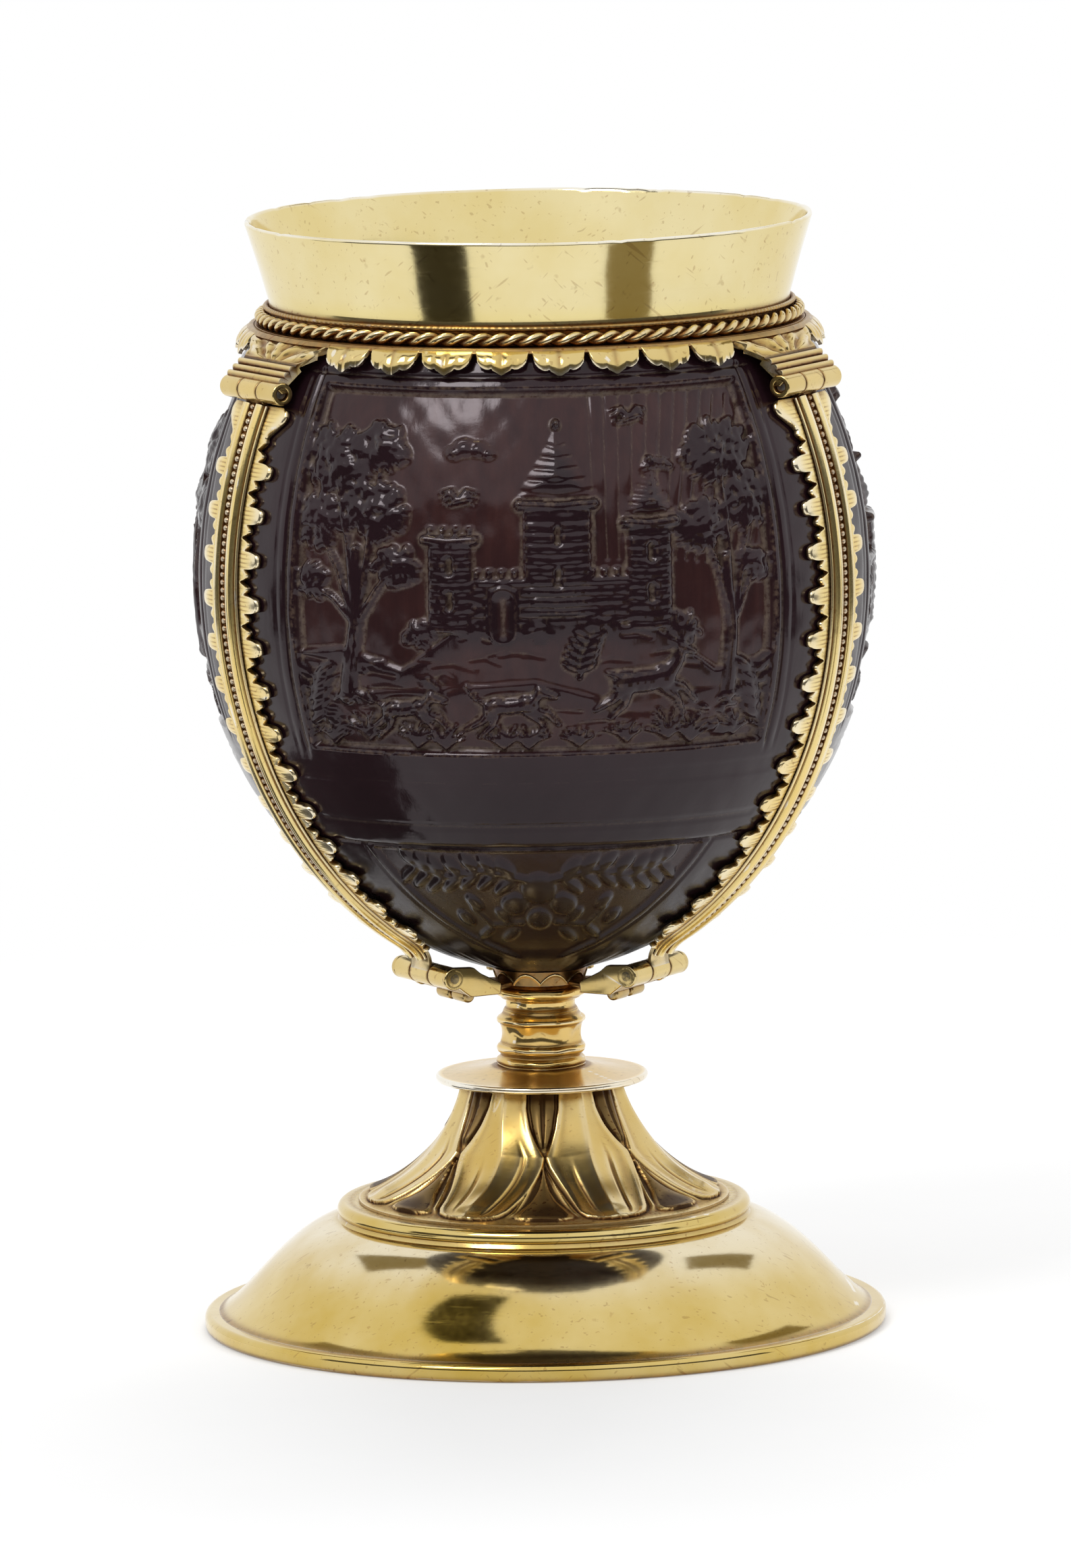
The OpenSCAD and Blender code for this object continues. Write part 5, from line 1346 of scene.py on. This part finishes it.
def border(s):
    m = (s / PITCH) % 1.0
    w = np.interp(np.minimum(m, 1 - m), LOBE_S, LOBE_W)
    return np.where(LENGTH - s < PITCH, np.interp(LENGTH - s, FLARE_S, FLARE_W), w)


def strap_plate(az, g):
    ms = sorted(set(LOBE_S + [1 - q for q in LOBE_S]))[:-1]
    ss = np.array([(i + q) * PITCH for i in range(COUNT) for q in ms])
    ss = np.unique(np.concatenate([np.linspace(-2.7, -0.2, 12), ss[ss < LENGTH - PITCH],
                                   np.linspace(LENGTH - PITCH, LENGTH, 28)]))
    w = border(ss) * np.interp(ss, [-2.7, -2.2, -1.2, 0], [0.05, 0.45, 0.75, 1])
    w = w * (1 + 0.03 * np.interp(ss, np.linspace(0, LENGTH, 40), g.uniform(-1, 1, 40)))
    fr = np.array([0, 0.2, 0.4, 0.6, 0.78, 0.89, 0.955, 1.0])
    m = np.minimum((ss / PITCH) % 1.0, 1 - (ss / PITCH) % 1.0)[:, None]
    lobe = smooth(0.29, 0.36, m)
    top = 0.06 + lobe * (0.16 * np.sin(math.pi * fr) ** 0.8) * smooth(0.28, 0.45, m) - 0.05 * fr ** 3
    reach = 3.3 * narrowed(ss)[:, None] + (w[:, None] + 0.2) * fr
    out_h, in_h = 1.08 + top, 0.31 + 0 * top
    out_h[:, -1], in_h[:, -1] = 0.90, 0.62
    t = np.concatenate([reach[:, ::-1], -reach, -reach[:, ::-1], reach], 1)
    p = over_strap(ss[:, None], np.concatenate([out_h[:, ::-1], out_h, in_h[:, ::-1], in_h], 1), t)
    # The lobes lie round the shell, not flat across it
    r = np.maximum(p[..., 0], 16.0)
    p[..., 0] -= r * (1 - np.cos(t / r)) * smooth(0.12, 0.3, ss / LENGTH)[:, None]
    ch = np.zeros(p.shape[:2] + (4,))
    # Darker beside the reeds, as tarnish and the reeds' painted shadow, and towards the gaps; worn bare towards
    # the lobes' edges.
    dark = 0.75 * smooth(0.25, 0.0, fr) + 0.35 * smooth(0.3, 0.05, m) - 0.6 * smooth(0.45, 0.9, fr)
    hatch = smooth(0.7, 0.45, fr) * (0.35 + 0.65 * lobe)
    for i, value in ((0, dark), (2, hatch)):
        ch[:, :2 * len(fr), i] = np.concatenate([value[:, ::-1], value], 1)
    ch[..., 3] = ss[:, None]
    s = Solid()
    s.tube(turn(p, az), ch)

    # Knuckles and the tongues that join them to the plate
    for axis in (UPPER, LOWER):
        s.rod(axis, -HALF_KNUCKLE, HALF_KNUCKLE, KNUCKLE_R, az, 0.18, KNUCKLE_BORE, 0.2,
              (-HALF_KNUCKLE, HALF_KNUCKLE))
    low, high = (on_strap(LENGTH - 0.3, h) for h in (0.32, 1.15))
    s.prism([low, high, UPPER + (1.35, -0.4), UPPER + (0, 0.6), UPPER + (-1.3, 0)], -2.55, 2.55, az, 0.15, 0.5)
    ts = np.linspace(-TAIL, 0.5, 24)
    wide = np.interp(ts, [-TAIL, -2.5, 0.5], [2.55, 2.7, 3.4])[:, None]
    side = np.array([-1, -1, -0.96, 0.96, 1, 1, 0.96, -0.96])
    tall = np.array([0.45, 0.9, 1.0, 1.0, 0.9, 0.45, 0.36, 0.36])
    s.tube(turn(over_strap(ts[:, None], tall, wide * side), az), 0.25)
    return s


def strap_reeds(az):
    """Two half-rounds, each with a fine bead along its outer side."""
    half = [(3.5, 0.05), (3.5, 0.26), (3.42, 0.36), (3.27, 0.40), (3.12, 0.34), (3.02, 0.20), (2.88, 0.18),
            (2.80, 0.34)]
    for q in np.linspace(0.15, math.pi - 0.15, 21):
        x = 1.85 + 0.94 * math.cos(q)
        half.append((x, 0.34 + 0.72 * math.sin(q) ** 0.8 - 0.09 * bump(x, 2.02, 0.10)))
    half = np.array(half + [(0.90, 0.36), (0.88, 0.2)])
    t, h = np.vstack([half, half[::-1] * (-1, 1)]).T
    rs = np.linspace(-TAIL + 1.9, LENGTH - 0.15, 170)[:, None]
    uneven = waves(400 + int(math.degrees(az)), 9, 6, 0.3)
    across = np.abs(t)
    dark = (0.9 * (np.abs(across - 2.93) < 0.14) + (across < 0.96) + 0.5 * (h < 0.1)
            + 0.22 * bump(across, 2.02, 0.10))
    dark = np.clip(dark, 0, 1) - 0.6 * bump(across, 1.70, 0.34) * (h > 0.85)
    s = Solid()
    s.tube(turn(over_strap(rs, STRAP_TOP + h, t * narrowed(rs) + 0.035 * uneven(0, rs)), az), dark[None, :])
    return s


def strap_beads(az, g):
    s = Solid()
    count = int(LENGTH / BEAD_PITCH)
    lat, lon = np.linspace(-math.pi / 2, math.pi / 2, 6)[:, None], (np.arange(9) / 9 * TAU)[None, :]
    for i in range(count):
        ds = 0.50 * np.cos(lat) * np.cos(lon) * g.uniform(0.90, 1.02)
        dt = 0.62 * np.cos(lat) * np.sin(lon) + g.uniform(-0.05, 0.05)
        dh = 0.40 * np.sin(lat) + 0 * lon
        p = over_strap((i + 0.5) * LENGTH / count + ds, STRAP_TOP + BEAD_UP + 0.12 + dh, dt)
        s.tube(turn(p, az), smooth(0.38, 0.05, dh) * 0.7 + 0.50)
    return s


def strap(name, az):
    body = "strap_" + name
    g = np.random.default_rng(300 + int(math.degrees(az)))
    strap_plate(az, g).make(body + "_plate", GILT_STRAP, body, [body + "_band"], 45)
    strap_reeds(az).make(body + "_reeds", GILT_STRAP, body, [body + "_rib"], 50)
    strap_beads(az, g).make(body + "_beads", GILT_STRAP, body, [body + "_beading"], 60)
    s = Solid()
    s.rod(UPPER, -HALF_KNUCKLE, HALF_KNUCKLE, PIN_R, az, 0.1)
    s.make(body + "_pin", STEEL, body, [body + "_pin_core"], slot="steel")


for strap_name, strap_az in STRAPS.items():
    strap(strap_name, strap_az)

for node in ("tie_bolt", "tie_nut", "tie_washer"):
    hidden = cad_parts[node].data
    hidden.materials.clear()
    hidden.materials.append(STEEL)


# Studio

WHITE = (1, 1, 1, 1)
FOCAL_PX, PHOTO_TALL, SENSOR = 20278.7, 2324, 36.0
ROLL = math.radians(-0.92)


def link(name, data):
    o = bpy.data.objects.new(name, data)
    bpy.context.scene.collection.objects.link(o)
    return o


def facing(at, to):
    """The turn of a lamp or camera that looks from one point to another."""
    return (Vector(to) - Vector(at)).to_track_quat("-Z", "Y")


def lamp(name, at, to, size, watts, glossy=True):
    d = bpy.data.lights.new(name, "AREA")
    d.shape, d.size, d.size_y = "RECTANGLE", size[0], size[1]
    d.energy = watts
    o = link(name, d)
    o.location = at
    o.rotation_euler = facing(at, to).to_euler()
    o.visible_glossy = glossy


def sheet(name, points, faces, mat):
    me = bpy.data.meshes.new(name)
    me.from_pydata(points, [], faces)
    me.materials.append(mat)
    o = link(name, me)
    return o


def floor():
    """White paper, in shade near the cup and pure white further off."""
    n = Nodes("floor_white")
    co = n.place()
    tone = n.mix(n.noise(co, 60.0, 2.0), (0.90, 0.90, 0.90), (0.92, 0.92, 0.92))
    away = n.add("ShaderNodeVectorMath", "Value", {"operation": "LENGTH"}, i0=co)
    mat = n.end("ShaderNodeMixShader", i0=n.times(n.seen(), n.range(away, 0.05, 0.38, 0.30, 1.0)),
                i1=n.add("ShaderNodeBsdfDiffuse", Color=tone),
                i2=n.add("ShaderNodeEmission", Color=WHITE, Strength=1.0))
    sheet("floor", [(-3, -3, 0), (3, -3, 0), (3, 3, 0), (-3, 3, 0)], [(0, 1, 2, 3)], mat)


def board(name, colour):
    n = Nodes(name)
    dimmer = tuple(0.8 * c for c in colour)
    return n.end("ShaderNodeEmission", Color=n.mix(n.noise(n.place(), 9.0), dimmer, colour))


def flag(name, rows, mat):
    """A board between two rows of points, which only polished metal and wax show."""
    m = len(rows[0])
    o = sheet(name, rows[0] + rows[1], [(i, i + 1, m + i + 1, m + i) for i in range(m - 1)], mat)
    o.visible_camera = o.visible_shadow = o.visible_diffuse = False


def toward(turn_by, el, d, at=(0, 0, 0)):
    """A point seen from at, with turns counted from the camera's side to the right."""
    a, e = math.radians(turn_by), math.radians(el)
    x, y, z = at
    return (x + d * math.cos(e) * math.sin(a), y - d * math.cos(e) * math.cos(a), z + d * math.sin(e))


floor()
DARK = board("board_dark", (0.045, 0.040, 0.028))
BROWN = board("board_brown", (0.30, 0.24, 0.12))
ROOM = board("board_room", (0.11, 0.105, 0.10))
# Boards round the cup: first and last turn, then radius and height of both edges
for flag_name, first, last, edges, look in (
        ("flag_low_left", -49, -25, ((0.20, 0.002), (0.45, 0.002)), DARK),
        ("flag_under_bowl", -112, -54, ((0.070, 0.0015), (0.17, 0.0015)), ROOM),
        ("flag_low_right", 34, 55, ((0.20, 0.002), (0.45, 0.002)), BROWN),
        ("room_floor", -96, 96, ((0.46, 0.002), (1.6, 0.002)), ROOM),
        ("room_wall", -80, 80, ((1.6, 0.002), (1.6, 0.62)), ROOM)):
    turns = np.linspace(first, last, 25)
    flag(flag_name, [[toward(a, 0, r, (0, 0, z)) for a in turns] for r, z in edges], look)
# Boards above: the spot on the foot that shows them, then turn and height of their corners
for flag_name, spot, corners, look in (
        ("flag_over_left", (-0.012, -0.041, 0.007), ((-83.5, 58.5), (-46, 69.5), (-85.5, 69.0), (-47, 79.0)),
         DARK),
        ("flag_back_left", (-0.022, -0.027, 0.014), ((-149, 38), (-156, 54), (-131, 46), (-135, 60)), BROWN),
        ("flag_back_right", (0.025, -0.026, 0.013), ((145, 52), (144, 34), (126, 56), (132, 39)), BROWN)):
    four = [toward(*corner, 1.0, spot) for corner in corners]
    flag(flag_name, [four[:2], four[2:]], look)

air = Nodes("studio", True)
fill, white = (air.add("ShaderNodeBackground", Color=WHITE, Strength=k) for k in (0.55, 1.0))
bpy.context.scene.world = air.end("ShaderNodeMixShader", i0=air.seen(), i1=fill, i2=white)

lamp("key", (-0.55, -0.75, 1.15), (0, 0, 0.09), (0.50, 0.50), 7.0)
lamp("fill", (0.85, -0.65, 0.75), (0, 0, 0.09), (0.45, 0.7), 3.0, False)
lamp("back", (0.05, 0.75, 1.1), (0, 0, 0.1), (0.9, 0.4), 9.0, False)

cam = bpy.data.cameras.new("camera")
cam.sensor_fit, cam.sensor_height, cam.sensor_width = "VERTICAL", SENSOR, SENSOR
cam.lens = FOCAL_PX * SENSOR / PHOTO_TALL
cam.clip_end = 20
camera = link("camera", cam)
eye, aim = (-0.00025, -2.0, 0.36219), (-0.00025, 0, 0.08057)
look_down = facing(eye, aim).to_matrix().to_4x4()
camera.matrix_world = Matrix.Translation(eye) @ look_down @ Matrix.Rotation(ROLL, 4, "Z")
bpy.context.scene.camera = camera
bpy.context.scene.view_settings.view_transform = "Standard"
